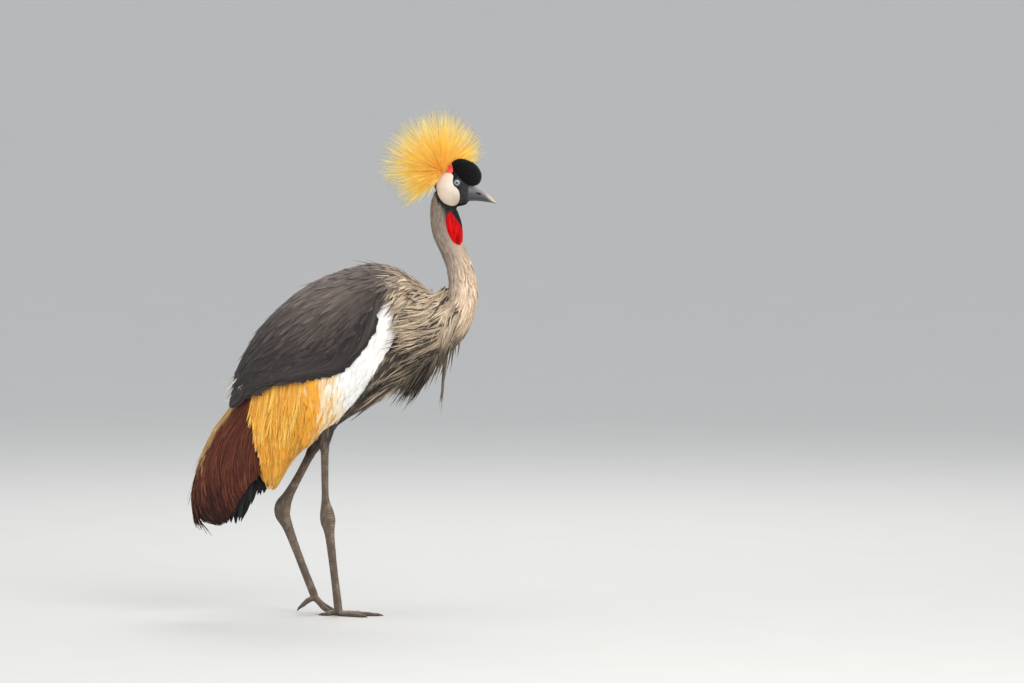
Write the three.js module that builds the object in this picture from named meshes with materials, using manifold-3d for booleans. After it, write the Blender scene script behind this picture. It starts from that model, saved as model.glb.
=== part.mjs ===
// A grey crowned crane, life size, standing on one straight leg with the other trailing. Millimetres, +X to
// the bill, +Y to the bird's left, +Z up. The feet rest at Z = 0, under the middle of the bird's box.
import * as THREE from "three";
import { mergeVertices } from "three/addons/utils/BufferGeometryUtils.js";
import Module from "manifold-3d";

const wasm = await Module();
wasm.setup();

// Driving sizes. In these lists X is counted from a point between the legs.
const GAP = 0.35; // what touching pieces keep between them
const RING_SIDES = 16; // sides of the body's rings
const LEG_SIDES = 8;
const TOE_SIDES = 6;
const HEAD_BASE_Z = 838; // where head and neck part
const MID_NECK_Z = 750; // where the neck's two lengths part
const FAR = 400; // half a box that reaches past everything on one side
const CREST_BRISTLES = 94;
const CREST_LENGTH = 138; // the longest bristles, which stand up and back
const EYE_RADIUS = 8;
const CHEEK_PROUD = 1.8; // how far the bare skin stands over the head
const RED_PATCH_PROUD = 1.4;
const PLATE_ROOM = 2.2; // how far over the head the crest keeps clear of it

// The folded wings, back and bustle as one outline in side view. Each row is a ring: its top point, its
// bottom point, its half width, and how far the flesh lies inside it at the top, the bottom and the sides.
const MANTLE = [
  { top: [189, 666], bottom: [271, 611], half: 42, inTop: 6, inBottom: 5, inSide: 8 },
  { top: [154, 693], bottom: [225, 545], half: 66, inTop: 9, inBottom: 5, inSide: 14 },
  { top: [113, 715], bottom: [174, 508], half: 88, inTop: 13, inBottom: 5, inSide: 18 },
  { top: [61, 722], bottom: [113, 461], half: 102, inTop: 16, inBottom: 5, inSide: 20 },
  { top: [0, 707], bottom: [61, 426], half: 107, inTop: 17, inBottom: 6, inSide: 22 },
  { top: [-61, 681], bottom: [10, 392], half: 106, inTop: 18, inBottom: 8, inSide: 24 },
  { top: [-119, 638], bottom: [-45, 351], half: 101, inTop: 20, inBottom: 16, inSide: 28 },
  { top: [-168, 584], bottom: [-88, 310], half: 93, inTop: 32, inBottom: 56, inSide: 36 },
  { top: [-205, 521], bottom: [-123, 254], half: 83, inTop: 56, inBottom: 96, inSide: 46 },
  { top: [-234, 443], bottom: [-160, 238], half: 72, inTop: 60, inBottom: 98, inSide: 52 },
  { top: [-275, 381], bottom: [-189, 207], half: 61, inTop: 60, inBottom: 90, inSide: 50 },
  { top: [-303, 316], bottom: [-215, 180], half: 50, inTop: 60, inBottom: 60, inSide: 44 },
  { top: [-318, 248], bottom: [-246, 172], half: 36, inTop: 30, inBottom: 30, inSide: 30 },
  { top: [-314, 201], bottom: [-287, 180], half: 18, inTop: 10, inBottom: 10, inSide: 14 },
];
const LAST_TORSO_RING = 9; // the rump ends at this ring
const FULLNESS = 0.72; // under 1 makes the rings fuller low down, where the wings hang clear of the belly

// The neck from the head down into the breast: centre, half depth fore and aft, half width.
const NECK = [
  { at: [214, 868], deep: 25, wide: 19 },
  { at: [213, 845], deep: 29, wide: 20 },
  { at: [211, 820], deep: 28, wide: 20 },
  { at: [216, 787], deep: 28, wide: 20 },
  { at: [232, 750], deep: 27, wide: 20 },
  { at: [247, 709], deep: 28, wide: 22 },
  { at: [252, 668], deep: 31, wide: 26 },
  { at: [243, 632], deep: 37, wide: 34 },
  { at: [219, 598], deep: 45, wide: 42 },
  { at: [188, 577], deep: 49, wide: 46 },
];

// The head from the nape to the bill: centre, half height, half width.
const HEAD = [
  { at: [195, 884], deep: 5, wide: 5 },
  { at: [200, 883], deep: 17, wide: 12 },
  { at: [208, 881], deep: 29, wide: 18 },
  { at: [220, 879], deep: 37, wide: 22 },
  { at: [234, 878], deep: 39, wide: 22 },
  { at: [247, 874], deep: 33, wide: 18 },
  { at: [258, 869], deep: 25, wide: 14 },
  { at: [266, 868], deep: 18, wide: 11 },
];
const BILL = [
  { at: [266.4, 868], deep: 17, wide: 10.6 },
  { at: [278, 866], deep: 14.5, wide: 9 },
  { at: [290, 862], deep: 11.5, wide: 7.4 },
  { at: [303, 857], deep: 8, wide: 5.4 },
  { at: [314, 851], deep: 4.2, wide: 3.2 },
  { at: [320.5, 846.5], deep: 1.2, wide: 1.2 },
];
const CAP = [
  { at: [229, 921], deep: 4, wide: 4 },
  { at: [235, 922], deep: 14, wide: 12 },
  { at: [246, 920], deep: 20, wide: 18 },
  { at: [260, 911], deep: 24, wide: 20 },
  { at: [272, 900], deep: 22, wide: 18 },
  { at: [281, 891], deep: 14, wide: 12 },
  { at: [285, 887], deep: 4, wide: 4 },
];
const EYE = { at: [240, 890], out: 14.5 }; // the eyeball's centre in side view, and how far out it lies
const CHEEK_OUTLINE = [
  [198, 878], [199, 892], [206, 904], [215, 909], [225, 907], [229, 901], [230, 884], [236, 879],
  [243, 877], [244, 858], [241, 847], [233, 843], [221, 845], [210, 852], [202, 864],
];
const RED_PATCH_OUTLINE = [[207, 906], [219, 921], [229, 926], [231, 911], [226, 909], [215, 911]];

// The wing's areas of colour in side view, as closed outlines. A later one gives way to an earlier one.
const GREY_EDGE = [
  [-228, 426], [-184, 461], [-160, 476], [-133, 484], [-72, 496], [-10, 508], [10, 520], [37, 545],
  [61, 578], [75, 612], [86, 650], [104, 672],
];
const GREY_OUTLINE = [...GREY_EDGE, [150, 700], [170, 900], [-330, 900], [-300, 470]];
const WHITE_OUTLINE = [
  [-41, 520], [-42, 432], [-2, 418], [32, 446], [70, 482], [104, 522], [120, 566], [128, 610], [136, 646],
  [80, 700],
];
const GOLD_OUTLINE = [
  [-174, 520], [-182, 420], [-168, 330], [-150, 270], [-122, 264], [-92, 300], [-70, 340], [-42.5, 400],
  [-42.5, 520],
];
const MAROON_OUTLINE = [
  [-260, 470], [-340, 380], [-340, 180], [-262, 180], [-236, 232], [-205, 300], [-182.5, 420], [-174.5, 520],
];
// How far each area's core stands from the outline, and how thick it may be
const LEVELS = { grey: 0, white: -7.5, gold: -11.5, maroon: -12.5 };
const WALLS = { grey: 30, white: 26, gold: 7, maroon: 7 };

// The nostrils, the throat's wattle and the crest
const MOUTH_LINE = [[255, 858.5], [280, 857], [300, 851.5], [322, 845.6]];
const NOSTRIL = { at: [285, 7.6, 866], size: [5, 2.6, 2], lean: 0.32 };
const LOBE = [
  { at: [221, 834], deep: 5, wide: 5, out: 8 },
  { at: [226, 818], deep: 12, wide: 9, out: 11.5 },
  { at: [232, 795], deep: 15, wide: 9.5, out: 12 },
  { at: [237, 772], deep: 13, wide: 8, out: 10 },
  { at: [241, 751], deep: 5, wide: 4.5, out: 7 },
];
const BRIDGE = [
  { at: [234, 832], deep: 5, wide: 8 },
  { at: [243, 803], deep: 7, wide: 11 },
  { at: [246, 776], deep: 6, wide: 10 },
  { at: [246, 756], deep: 3.5, wide: 6 },
];
const CREST_PAD = { at: [212, 0, 914], size: [19, 16, 9], lean: -0.9 };
const CREST_HEART = [216, 0, 908]; // where all the bristles point away from
const CREST_AXIS = [-0.42, 0, 0.91];
const CREST_SPREAD = 1.3; // 1 opens the ball to a half, 2 closes it
const TURN_OF_SEEDS = 2.39996; // this turn from one bristle to the next spreads them evenly

// Shared shapes
const v3 = (x, y, z) => new THREE.Vector3(x, y, z);
const mix = (a, b, t) => a + (b - a) * t;
const clamp = (x, a, b) => Math.min(b, Math.max(a, x));
const pairMix = (pair, t) => pair[0].map((n, k) => mix(n, pair[1][k], t));

// A seeded draw, so that the bird is the same each time.
function drawer(seed) {
  let state = seed;
  return (low = 0, high = 1) => {
    state = (state * 1664525 + 1013904223) % 4294967296;
    return mix(low, high, state / 4294967296);
  };
}

function curveThrough(points) {
  return new THREE.CatmullRomCurve3(points, false, "centripetal");
}

function indexed(vertices, triangles) {
  const geometry = new THREE.BufferGeometry();
  const numbers = vertices.flatMap((p) => [p.x, p.y, p.z]);
  geometry.setAttribute("position", new THREE.Float32BufferAttribute(numbers, 3));
  geometry.setIndex(triangles);
  return geometry;
}

function toSolid(geometry) {
  geometry.deleteAttribute("normal");
  geometry.deleteAttribute("uv");
  const merged = mergeVertices(geometry, 1e-4);
  const mesh = new wasm.Mesh({
    numProp: 3,
    vertProperties: merged.attributes.position.array,
    triVerts: new Uint32Array(merged.index.array),
  });
  const solid = new wasm.Manifold(mesh);
  if (solid.volume() >= 0) return solid;
  const turned = Array.from(merged.index.array);
  for (let i = 0; i < turned.length; i += 3) {
    [turned[i + 1], turned[i + 2]] = [turned[i + 2], turned[i + 1]];
  }
  const flipped = new wasm.Mesh({
    numProp: 3,
    vertProperties: merged.attributes.position.array,
    triVerts: new Uint32Array(turned),
  });
  return new wasm.Manifold(flipped);
}

// Skins a row of closed rings of equal count, and closes both ends with a fan.
function skinRings(rings) {
  const sides = rings[0].length;
  const vertices = rings.flat();
  const triangles = [];
  for (let r = 0; r + 1 < rings.length; r++) {
    for (let s = 0; s < sides; s++) {
      const a = r * sides + s;
      const b = r * sides + ((s + 1) % sides);
      triangles.push(a, a + sides, b + sides, a, b + sides, b);
    }
  }
  for (const [first, turn] of [[0, false], [(rings.length - 1) * sides, true]]) {
    const centre = vertices.length;
    const ring = vertices.slice(first, first + sides);
    vertices.push(ring.reduce((sum, p) => sum.add(p), v3(0, 0, 0)).multiplyScalar(1 / sides));
    for (let s = 0; s < sides; s++) {
      const a = first + s;
      const b = first + ((s + 1) % sides);
      triangles.push(centre, ...(turn ? [b, a] : [a, b]));
    }
  }
  return toSolid(indexed(vertices, triangles));
}

// A tube in the side view's plane, or beside it: rows of centre, half depth and half width, smoothed between
// rows. upright keeps every ring square to the bird's length, whichever way its centre line runs.
function limb(rows, options) {
  const { grow = 0, steps, sides, from = 0, to = 1, lead = 0, side = 1, upright = false } = options;
  const centres = curveThrough(rows.map((r) => v3(r.at[0], side * (r.out ?? 0), r.at[1])));
  const sizes = curveThrough(rows.map((r, i) => v3(r.deep, r.wide, i * 20)));
  const rings = [];
  for (let i = 0; i <= steps; i++) {
    const t = mix(from, to, i / steps);
    const centre = centres.getPoint(t);
    const along = upright ? v3(1, 0, 0) : centres.getTangent(t);
    const size = sizes.getPoint(t);
    const across = v3(0, 1, 0).addScaledVector(along, -along.y).normalize();
    const up = new THREE.Vector3().crossVectors(across, along).normalize();
    if (i === 0) centre.addScaledVector(along, lead - grow);
    if (i === steps) centre.addScaledVector(along, grow);
    const ring = [];
    for (let s = 0; s < sides; s++) {
      const angle = (2 * Math.PI * s) / sides;
      ring.push(
        centre.clone()
          .addScaledVector(up, Math.cos(angle) * (size.x + grow))
          .addScaledVector(across, Math.sin(angle) * (size.y + grow)),
      );
    }
    rings.push(ring);
  }
  return skinRings(rings);
}

// A slab that reaches past the bird on all sides but those given
function slab(y0, y1, z0, z1) {
  const geometry = new THREE.BoxGeometry(2 * FAR, y1 - y0, z1 - z0);
  return toSolid(geometry.translate(0, (y0 + y1) / 2, (z0 + z1) / 2));
}

// A side-view outline drawn through the bird from y0 to y1.
function prism(outline, y0, y1, dx = 0, dz = 0) {
  const shape = new THREE.Shape(outline.map(([x, z]) => new THREE.Vector2(x + dx, z + dz)));
  const geometry = new THREE.ExtrudeGeometry(shape, { depth: y1 - y0, bevelEnabled: false });
  geometry.rotateX(Math.PI / 2).translate(0, y1, 0);
  return toSolid(geometry);
}

const unite = (solids) => wasm.Manifold.union(solids);
const largest = (solid) =>
  solid.decompose().reduce((best, piece) => (piece.volume() > best.volume() ? piece : best));

// The outline of wings and back as smooth curves over u from 0, the breast, to 1, the tip of the bustle.
const topLine = curveThrough(MANTLE.map((r) => v3(r.top[0], r.half, r.top[1])));
const bottomLine = curveThrough(MANTLE.map((r) => v3(r.bottom[0], 0, r.bottom[1])));
const insets = curveThrough(MANTLE.map((r, i) => v3(r.inTop, r.inBottom, r.inSide + i * 1e-3)));

// A point of the outline: u along the body, v from the back's middle line, 0, to the belly's, 1, h outwards.
function mantleRing(u, h = 0, flesh = false) {
  const top = topLine.getPoint(u);
  const half = top.y + h;
  top.y = 0;
  const bottom = bottomLine.getPoint(u);
  const down = bottom.clone().sub(top).normalize();
  const inset = flesh ? insets.getPoint(u) : v3(0, 0, 0);
  top.addScaledVector(down, inset.x - h);
  bottom.addScaledVector(down, -inset.y + h);
  return { top, bottom, half: Math.max(half - inset.z, 2), down };
}

function onRing(ring, v) {
  const angle = Math.PI * v;
  const point = ring.top.clone().lerp(ring.bottom, (1 - Math.cos(angle)) / 2);
  point.y = ring.half * Math.pow(Math.max(Math.sin(angle), 0), FULLNESS);
  return point;
}

function mantleSolid(h, { flesh = false, from = 0, to = 1, steps = 13 } = {}) {
  const rings = [];
  for (let i = 0; i <= steps; i++) {
    const ring = mantleRing(mix(from, to, i / steps), h, flesh);
    const beyond = v3(ring.down.z, 0, -ring.down.x).multiplyScalar(i === 0 ? -h : i === steps ? h : 0);
    ring.top.add(beyond);
    ring.bottom.add(beyond);
    const points = [];
    for (let s = 0; s < RING_SIDES; s++) {
      const v = (2 * s) / RING_SIDES;
      const point = onRing(ring, v <= 1 ? v : 2 - v);
      if (v > 1) point.y *= -1;
      points.push(point);
    }
    rings.push(points);
  }
  return skinRings(rings);
}

// The place on the outline under a point of the side view.
function placeUnder(x, z) {
  const side = (u) => {
    const ring = mantleRing(u);
    return (x - ring.top.x) * ring.down.z - (z - ring.top.z) * ring.down.x;
  };
  let low = 0;
  let high = 1;
  const sign = Math.sign(side(low)) || 1;
  for (let i = 0; i < 24; i++) {
    const middle = (low + high) / 2;
    if (Math.sign(side(middle)) === sign) low = middle;
    else high = middle;
  }
  const u = (low + high) / 2;
  const ring = mantleRing(u);
  const length = ring.top.distanceTo(ring.bottom);
  const share = ((x - ring.top.x) * ring.down.x + (z - ring.top.z) * ring.down.z) / length;
  return { u, v: Math.acos(clamp(1 - 2 * share, -0.995, 0.995)) / Math.PI };
}

// The outline's point and outward normal over a point of the side view, on the bird's left side.
function surfaceAt(x, z) {
  const { u, v } = placeUnder(x, z);
  const step = 0.004;
  const u0 = clamp(u, step, 1 - step);
  const at = (a, b) => onRing(mantleRing(a), b);
  const alongBody = at(u0 + step, v).sub(at(u0 - step, v));
  const aroundBody = at(u0, clamp(v + step, 0, 1)).sub(at(u0, clamp(v - step, 0, 1)));
  const normal = new THREE.Vector3().crossVectors(aroundBody, alongBody).normalize();
  if (normal.y < 0) normal.negate();
  return { point: v3(x, at(u, v).y, z), normal };
}

// A flat vane of even thickness along centre points, each with an outward normal: four points a ring.
function vane(centres, normals, widths, thickness, tilt = 0) {
  const last = centres.length - 1;
  const rings = centres.map((centre, i) => {
    const along = centres[Math.min(i + 1, last)].clone().sub(centres[Math.max(i - 1, 0)]).normalize();
    const across = new THREE.Vector3().crossVectors(along, normals[i]).normalize();
    across.applyAxisAngle(along, tilt);
    const out = new THREE.Vector3().crossVectors(across, along).normalize();
    const half = widths[i] / 2;
    const thick = mix(thickness, 0.55, i / last) / 2;
    const raise = half * Math.abs(Math.sin(tilt)); // a tilted vane's lower edge keeps the vane's height
    return [[-half, thick], [half, thick], [half, -thick], [-half, -thick]].map(([a, b]) =>
      centre.clone().addScaledVector(normals[i], raise).addScaledVector(across, a).addScaledVector(out, b),
    );
  });
  const vertices = rings.flat();
  const triangles = [];
  for (let r = 0; r < last; r++) {
    const a = r * 4;
    const b = a + 4;
    triangles.push(a, b, b + 1, a, b + 1, a + 1); // outer face
    triangles.push(a + 3, b + 2, b + 3, a + 3, a + 2, b + 2); // inner face, split along the same line
    triangles.push(a + 1, b + 1, b + 2, a + 1, b + 2, a + 2);
    triangles.push(a + 3, b + 3, b, a + 3, b, a);
  }
  const tip = last * 4;
  triangles.push(0, 1, 2, 0, 2, 3, tip, tip + 2, tip + 1, tip, tip + 3, tip + 2);
  return toSolid(indexed(vertices, triangles));
}

// Places along a path of the side view, or along a path of the body's own u and v, each with its outward
// normal. keep is the least share of the root's distance out that a hanging feather falls to.
function overSide(path, steps, keep = 0) {
  const curve = curveThrough(path.map(([x, z]) => v3(x, 0, z)));
  const places = [];
  for (let i = 0; i <= steps; i++) {
    const p = curve.getPoint(i / steps);
    const place = surfaceAt(p.x, p.z);
    const least = i > 0 ? places[0].point.y * keep : 0;
    if (place.point.y < least) {
      place.point.y = least;
      place.normal.set(0, 1, 0);
    }
    places.push(place);
  }
  return places;
}

function overBack(path, steps) {
  const curve = curveThrough(path.map(([u, v]) => v3(u, v, 0)));
  const places = [];
  for (let i = 0; i <= steps; i++) {
    const { x: u, y: v } = curve.getPoint(i / steps);
    const step = 0.004;
    const at = (a, b) => onRing(mantleRing(a), b);
    const alongBody = at(u + step, v).sub(at(u - step, v));
    const aroundBody = at(u, v + step).sub(at(u, v - step));
    const normal = new THREE.Vector3().crossVectors(aroundBody, alongBody).normalize();
    if (normal.y < 0) normal.negate();
    places.push({ point: at(u, v), normal });
  }
  return places;
}

// A feather on its places. lift is its height over the outline at the sunk root, past it, and at the tip.
const ROOT_WIDTH = 0.6; // share of the full width at the root
const WIDEST = 0.5; // share of the length where a feather is widest
function feather(places, { width, lift, side = 1, tilt = 0, thickness = 1.2, tip = 0.22 }) {
  const last = places.length - 1;
  const centres = places.map(({ point, normal }, i) =>
    point
      .clone()
      .addScaledVector(normal, i === 0 ? lift[0] : mix(lift[1], lift[2], (i - 1) / (last - 1)))
      .multiply(v3(1, side, 1)),
  );
  const normals = places.map(({ normal }) => normal.clone().multiply(v3(1, side, 1)));
  const widths = places.map((place, i) => {
    const t = i / last;
    const narrowing = Math.pow(Math.max(t - WIDEST, 0) / (1 - WIDEST), 1.7);
    return width * (t < WIDEST ? mix(ROOT_WIDTH, 1, t / WIDEST) : mix(1, tip, narrowing));
  });
  return vane(centres, normals, widths, thickness, tilt * side);
}

// Head: one form with sockets for the eyes and a ring of lid about each
const headForm = (grow) => limb(HEAD, { grow, steps: 7, sides: 12, upright: true });
const neckForm = (grow) => limb(NECK, { grow, steps: 14, sides: 10 });
const capForm = (grow) => limb(CAP, { grow, steps: 8, sides: 10, upright: true });
const lidRoom = () => unite([lidRing(1, GAP), lidRing(-1, GAP)]);
const eyeBall = (side, radius) =>
  toSolid(new THREE.SphereGeometry(radius, 10, 7).translate(EYE.at[0], side * EYE.out, EYE.at[1]));
const lidRing = (side, grow = 0) =>
  toSolid(
    new THREE.TorusGeometry(EYE_RADIUS - 1, 1.5 + grow, 4, 10)
      .rotateX(Math.PI / 2)
      .translate(EYE.at[0], side * (EYE.out + 4.6), EYE.at[1]),
  );

const torsoForm = (grow) =>
  mantleSolid(grow, { flesh: true, to: LAST_TORSO_RING / (MANTLE.length - 1), steps: 10 });
const torsoRoom = torsoForm(GAP);

const headAndNeck = unite([headForm(0), neckForm(0)]);
const between = (z0, z1) => slab(-FAR, FAR, z0, z1);
const above = (z) => between(z, 3 * FAR);

function cheekPlate(side, outline, proud) {
  const shell = headForm(proud).subtract(headForm(GAP));
  const window = prism(outline, ...(side > 0 ? [6, 60] : [-60, -6]));
  const rooms = unite([capForm(GAP), neckForm(GAP), lidRing(side, GAP)]);
  return largest(shell.intersect(window).subtract(rooms));
}

function headNode() {
  const lids = [lidRing(1), lidRing(-1)];
  const eyes = unite([eyeBall(1, EYE_RADIUS + GAP), eyeBall(-1, EYE_RADIUS + GAP)]);
  return largest(unite([headAndNeck.intersect(above(HEAD_BASE_Z + GAP / 2)), ...lids]).subtract(eyes));
}

// Bill: two halves that meet along the line of the mouth, with a nostril through each side of the upper one
function billNodes() {
  const rooms = unite([capForm(GAP), headForm(GAP)]);
  const whole = limb(BILL, { steps: 6, sides: 10, lead: GAP, upright: true }).subtract(rooms);
  const lowerHalf = [...MOUTH_LINE, [330, 800], [250, 800]];
  const below = prism(lowerHalf, -30, 30);
  const belowRoom = prism(lowerHalf, -30, 30, 0, GAP);
  const nostrils = [-1, 1].map((side) => {
    const [x, y, z] = NOSTRIL.at;
    const slot = new THREE.SphereGeometry(1, 6, 4).scale(...NOSTRIL.size).rotateY(NOSTRIL.lean);
    return toSolid(slot.translate(x, side * y, z));
  });
  return {
    bill_upper: largest(whole.subtract(belowRoom).subtract(unite(nostrils))),
    bill_lower: largest(whole.intersect(below)),
  };
}

// Wattle: two red lobes side by side under the throat
function wattleNode() {
  const lobe = (side) => limb(LOBE, { steps: 5, sides: 8, side });
  const bridge = limb(BRIDGE, { steps: 4, sides: 8 });
  return largest(unite([lobe(1), lobe(-1), bridge]).subtract(unite([neckForm(GAP), headForm(GAP)])));
}

// Crest: a low pad on the nape that carries a ball of stiff bristles
function crestNode() {
  const draw = drawer(11);
  const padShape = new THREE.SphereGeometry(1, 12, 7).scale(...CREST_PAD.size).rotateY(CREST_PAD.lean);
  const parts = [toSolid(padShape.translate(...CREST_PAD.at))];
  const heart = v3(...CREST_HEART);
  const axis = v3(...CREST_AXIS).normalize();
  const beside = v3(0, 1, 0);
  const across = new THREE.Vector3().crossVectors(beside, axis);
  for (let i = 0; i < CREST_BRISTLES; i++) {
    const turn = i * TURN_OF_SEEDS;
    const open = Math.acos(1 - CREST_SPREAD * ((i + 0.5) / CREST_BRISTLES)); // measured from the ball's axis
    const heading = axis.clone().multiplyScalar(Math.cos(open))
      .addScaledVector(beside, Math.sin(open) * Math.cos(turn))
      .addScaledVector(across, Math.sin(open) * Math.sin(turn))
      .normalize();
    const root = heart.clone().add(v3(heading.x * 9, heading.y * 12, heading.z * 7));
    parts.push(bristle(root, heading, bristleLength(heading) * draw(0.94, 1), draw(-0.05, 0.05)));
  }
  const clear = unite([headForm(PLATE_ROOM), capForm(GAP), neckForm(GAP)]);
  return largest(unite(parts).subtract(clear));
}

// The ball is lower in front, under it and at its sides.
function bristleLength(heading) {
  const front = clamp((heading.x - 0.1) / 0.7, 0, 1);
  const under = clamp(-3 * heading.z, 0, 1);
  return (CREST_LENGTH - 8) * (1 - 0.27 * front - 0.18 * under - 0.08 * Math.abs(heading.y));
}

function bristle(root, heading, length, bend) {
  const side = new THREE.Vector3().crossVectors(heading, v3(0.3, 0.9, 0.2)).normalize();
  const other = new THREE.Vector3().crossVectors(heading, side).normalize();
  const ring = (t, radius) => {
    const centre = root.clone().addScaledVector(heading, t * length);
    centre.addScaledVector(side, bend * length * t * t);
    return [0, 1, 2].map((k) => {
      const angle = (2 * Math.PI * k) / 3;
      return centre.clone()
        .addScaledVector(side, Math.cos(angle) * radius)
        .addScaledVector(other, Math.sin(angle) * radius);
    });
  };
  const tip = root.clone().addScaledVector(heading, length).addScaledVector(side, bend * length);
  const vertices = [...ring(0, 1.1), ...ring(0.5, 0.9), tip];
  const triangles = [0, 2, 1];
  for (let k = 0; k < 3; k++) {
    const next = (k + 1) % 3;
    triangles.push(k, next, next + 3, k, next + 3, k + 3, k + 3, next + 3, 6);
  }
  return toSolid(indexed(vertices, triangles));
}

// Lower neck: carries the long narrow plumes of the breast, that sweep back over the shoulders and hang in
// front. Each row has its count, its roots from first to last, its tips, its bow, its heights and its width.
const PLUME_ROWS = [
  [3, [[228, 662], [232, 626]], [[128, 646], [106, 570]], 5, [-6, 2, 4.4], 12],
  [4, [[232, 626], [240, 588]], [[120, 560], [98, 478]], 9, [-6, 3, 5.4], 12],
  [4, [[234, 600], [236, 568]], [[136, 496], [92, 418]], -4, [-6, 4, 6.4], 11],
];
const FRONT_PLUMES = { count: 3, top: [226, 566], tips: [[206, 404], [160, 452]], width: 8 };

function lowerNeckNode() {
  const draw = drawer(5);
  const base = neckForm(0).intersect(between(300, MID_NECK_Z - GAP / 2));
  const plumes = [];
  for (const side of [1, -1]) {
    for (const [count, root, tip, bow, lift, width] of PLUME_ROWS) {
      for (let i = 0; i < count; i++) {
        const start = pairMix(root, i / (count - 1));
        const end = pairMix(tip, i / (count - 1)).map((n) => n + draw(-4, 4));
        const middle = [(start[0] + end[0]) / 2, (start[1] + end[1]) / 2 + bow];
        const places = overSide([start, middle, end], 3, 0.6);
        plumes.push(feather(places, { width, lift, side, tilt: 0.1, tip: 0.12, thickness: 1.4 }));
      }
    }
    for (let i = 0; i < FRONT_PLUMES.count; i++) {
      const share = i / (FRONT_PLUMES.count - 1);
      const out = mix(7, 26, share);
      const [top, tips] = [FRONT_PLUMES.top, FRONT_PLUMES.tips];
      const end = v3(mix(tips[0][0], tips[1][0], share), out * 1.1, mix(tips[0][1], tips[1][1], share));
      const start = v3(top[0] - share * 16, out, top[1]);
      const middle = v3((start.x + end.x) / 2 + 5, out * 1.15, (start.z + end.z) / 2);
      const normal = v3(0.25, 1, 0).normalize();
      const line = curveThrough([start, middle, end]);
      const places = line.getSpacedPoints(3).map((point) => ({ point, normal }));
      const { width } = FRONT_PLUMES;
      plumes.push(feather(places, { width, lift: [0, 0, 0], side, tip: 0.12, thickness: 1.6 }));
    }
  }
  return largest(unite([base, ...plumes]).subtract(torsoRoom));
}

// Wings: each colour area is a shell over the flesh that carries its own feathers
function shell(area, outline, side, before, room = 0) {
  const depth = side > 0 ? [GAP / 2, FAR] : [-FAR, -GAP / 2];
  const window = unite([prism(outline, ...depth, -room, -room), prism(outline, ...depth, room, -room)]);
  const level = LEVELS[area] + room;
  const wall = mantleSolid(level).subtract(mantleSolid(LEVELS[area] - WALLS[area] - room));
  let made = wall.intersect(window).subtract(torsoRoom);
  for (const [other, dx, dz] of before) made = made.subtract(prism(other, -FAR, FAR, dx, dz));
  return largest(made);
}

// Rows of feathers in side view. Each runs between two roots and two tips. bow is how far the middle stands
// off the straight line to the rear, and lift is the height at the sunk root, past it and at the tip.
const OVER = 0.8; // every other feather of a row lies this much higher than its neighbours
const WHITE_ROWS = {
  bow: 4, lift: [-10.5, -6.6, -6.4], width: 35, tilt: 0.08, keep: 0.75,
  rows: [
    { count: 4, root: [[112, 588], [-16, 478]], tip: [[74, 496], [-42, 358]] },
    { count: 4, root: [[100, 634], [-10, 516]], tip: [[64, 546], [-42, 440]] },
  ],
};
const GOLD_ROWS = {
  bow: 12, lift: [-14.5, -10.6, -10.4], width: 21, tilt: 0.17, keep: 0.72,
  rows: [
    { count: 5, root: [[-60, 436], [-154, 416]], tip: [[-66, 322], [-150, 246]] },
    { count: 4, root: [[-60, 476], [-156, 452]], tip: [[-64, 376], [-156, 314]] },
  ],
};
const MAROON_ROWS = {
  bow: 8, lift: [-16, -11.6, -11.4], width: 26, tilt: 0.2, keep: 0.5,
  rows: [
    { count: 4, root: [[-192, 388], [-240, 392]], tip: [[-258, 186], [-316, 206]] },
    { count: 4, root: [[-192, 440], [-240, 416]], tip: [[-226, 276], [-308, 292]] },
  ],
};
const GREY_EDGE_FEATHERS = { count: 6, rear: [56, 34], front: [16, 52], tip: [-20, -19], width: 42 };
const GREY_LIFT = [-2.5, 1.2, 2];
const GREY_TILT = 0.06;
const GREY_BACK_WIDTH = 44;
const GREY_BACK_FEATHERS = [
  { count: 2, u: 0.13, length: 0.2, v: [0.12, 0.3] },
  { count: 3, u: 0.3, length: 0.21, v: [0.14, 0.42] },
  { count: 2, u: 0.48, length: 0.21, v: [0.16, 0.34] },
];

const raised = (lift, i) => lift.map((h, k) => (k > 0 ? h + (i % 2) * OVER : h));

function rowFeathers({ rows, bow, lift, width, tilt, keep }, side) {
  const draw = drawer(23);
  return rows.flatMap(({ count, root, tip }) =>
    Array.from({ length: count }, (_, i) => {
      const start = pairMix(root, i / (count - 1));
      const end = pairMix(tip, i / (count - 1)).map((n) => n + draw(-3, 3));
      const middle = [(start[0] + end[0]) / 2 - bow, (start[1] + end[1]) / 2];
      return feather(overSide([start, middle, end], 3, keep), { width, lift: raised(lift, i), side, tilt });
    }),
  );
}

function greyFeathers(side) {
  const edge = curveThrough(GREY_EDGE.map(([x, z]) => v3(x, 0, z)));
  const { count, rear, front, tip, width } = GREY_EDGE_FEATHERS;
  const made = [];
  for (let i = 0; i < count; i++) {
    const at = edge.getPoint(mix(0.03, 0.84, i / (count - 1)));
    const root = [0, 1].map((k) => mix(rear[k], front[k], i / (count - 1)));
    const path = [root, root.map((n) => n * 0.4), tip].map(([x, z]) => [at.x + x, at.z + z]);
    made.push(feather(overSide(path, 3), { width, lift: raised(GREY_LIFT, i), side, tilt: GREY_TILT }));
  }
  for (const row of GREY_BACK_FEATHERS) {
    for (let i = 0; i < row.count; i++) {
      const v = mix(row.v[0], row.v[1], i / (row.count - 1));
      const path = [[row.u, v], [row.u + row.length / 2, v + 0.01], [row.u + row.length, v + 0.03]];
      const size = { width: GREY_BACK_WIDTH, lift: raised(GREY_LIFT, i), tip: 0.12, tilt: GREY_TILT };
      made.push(feather(overBack(path, 3), { ...size, side }));
    }
  }
  return made;
}

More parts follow.
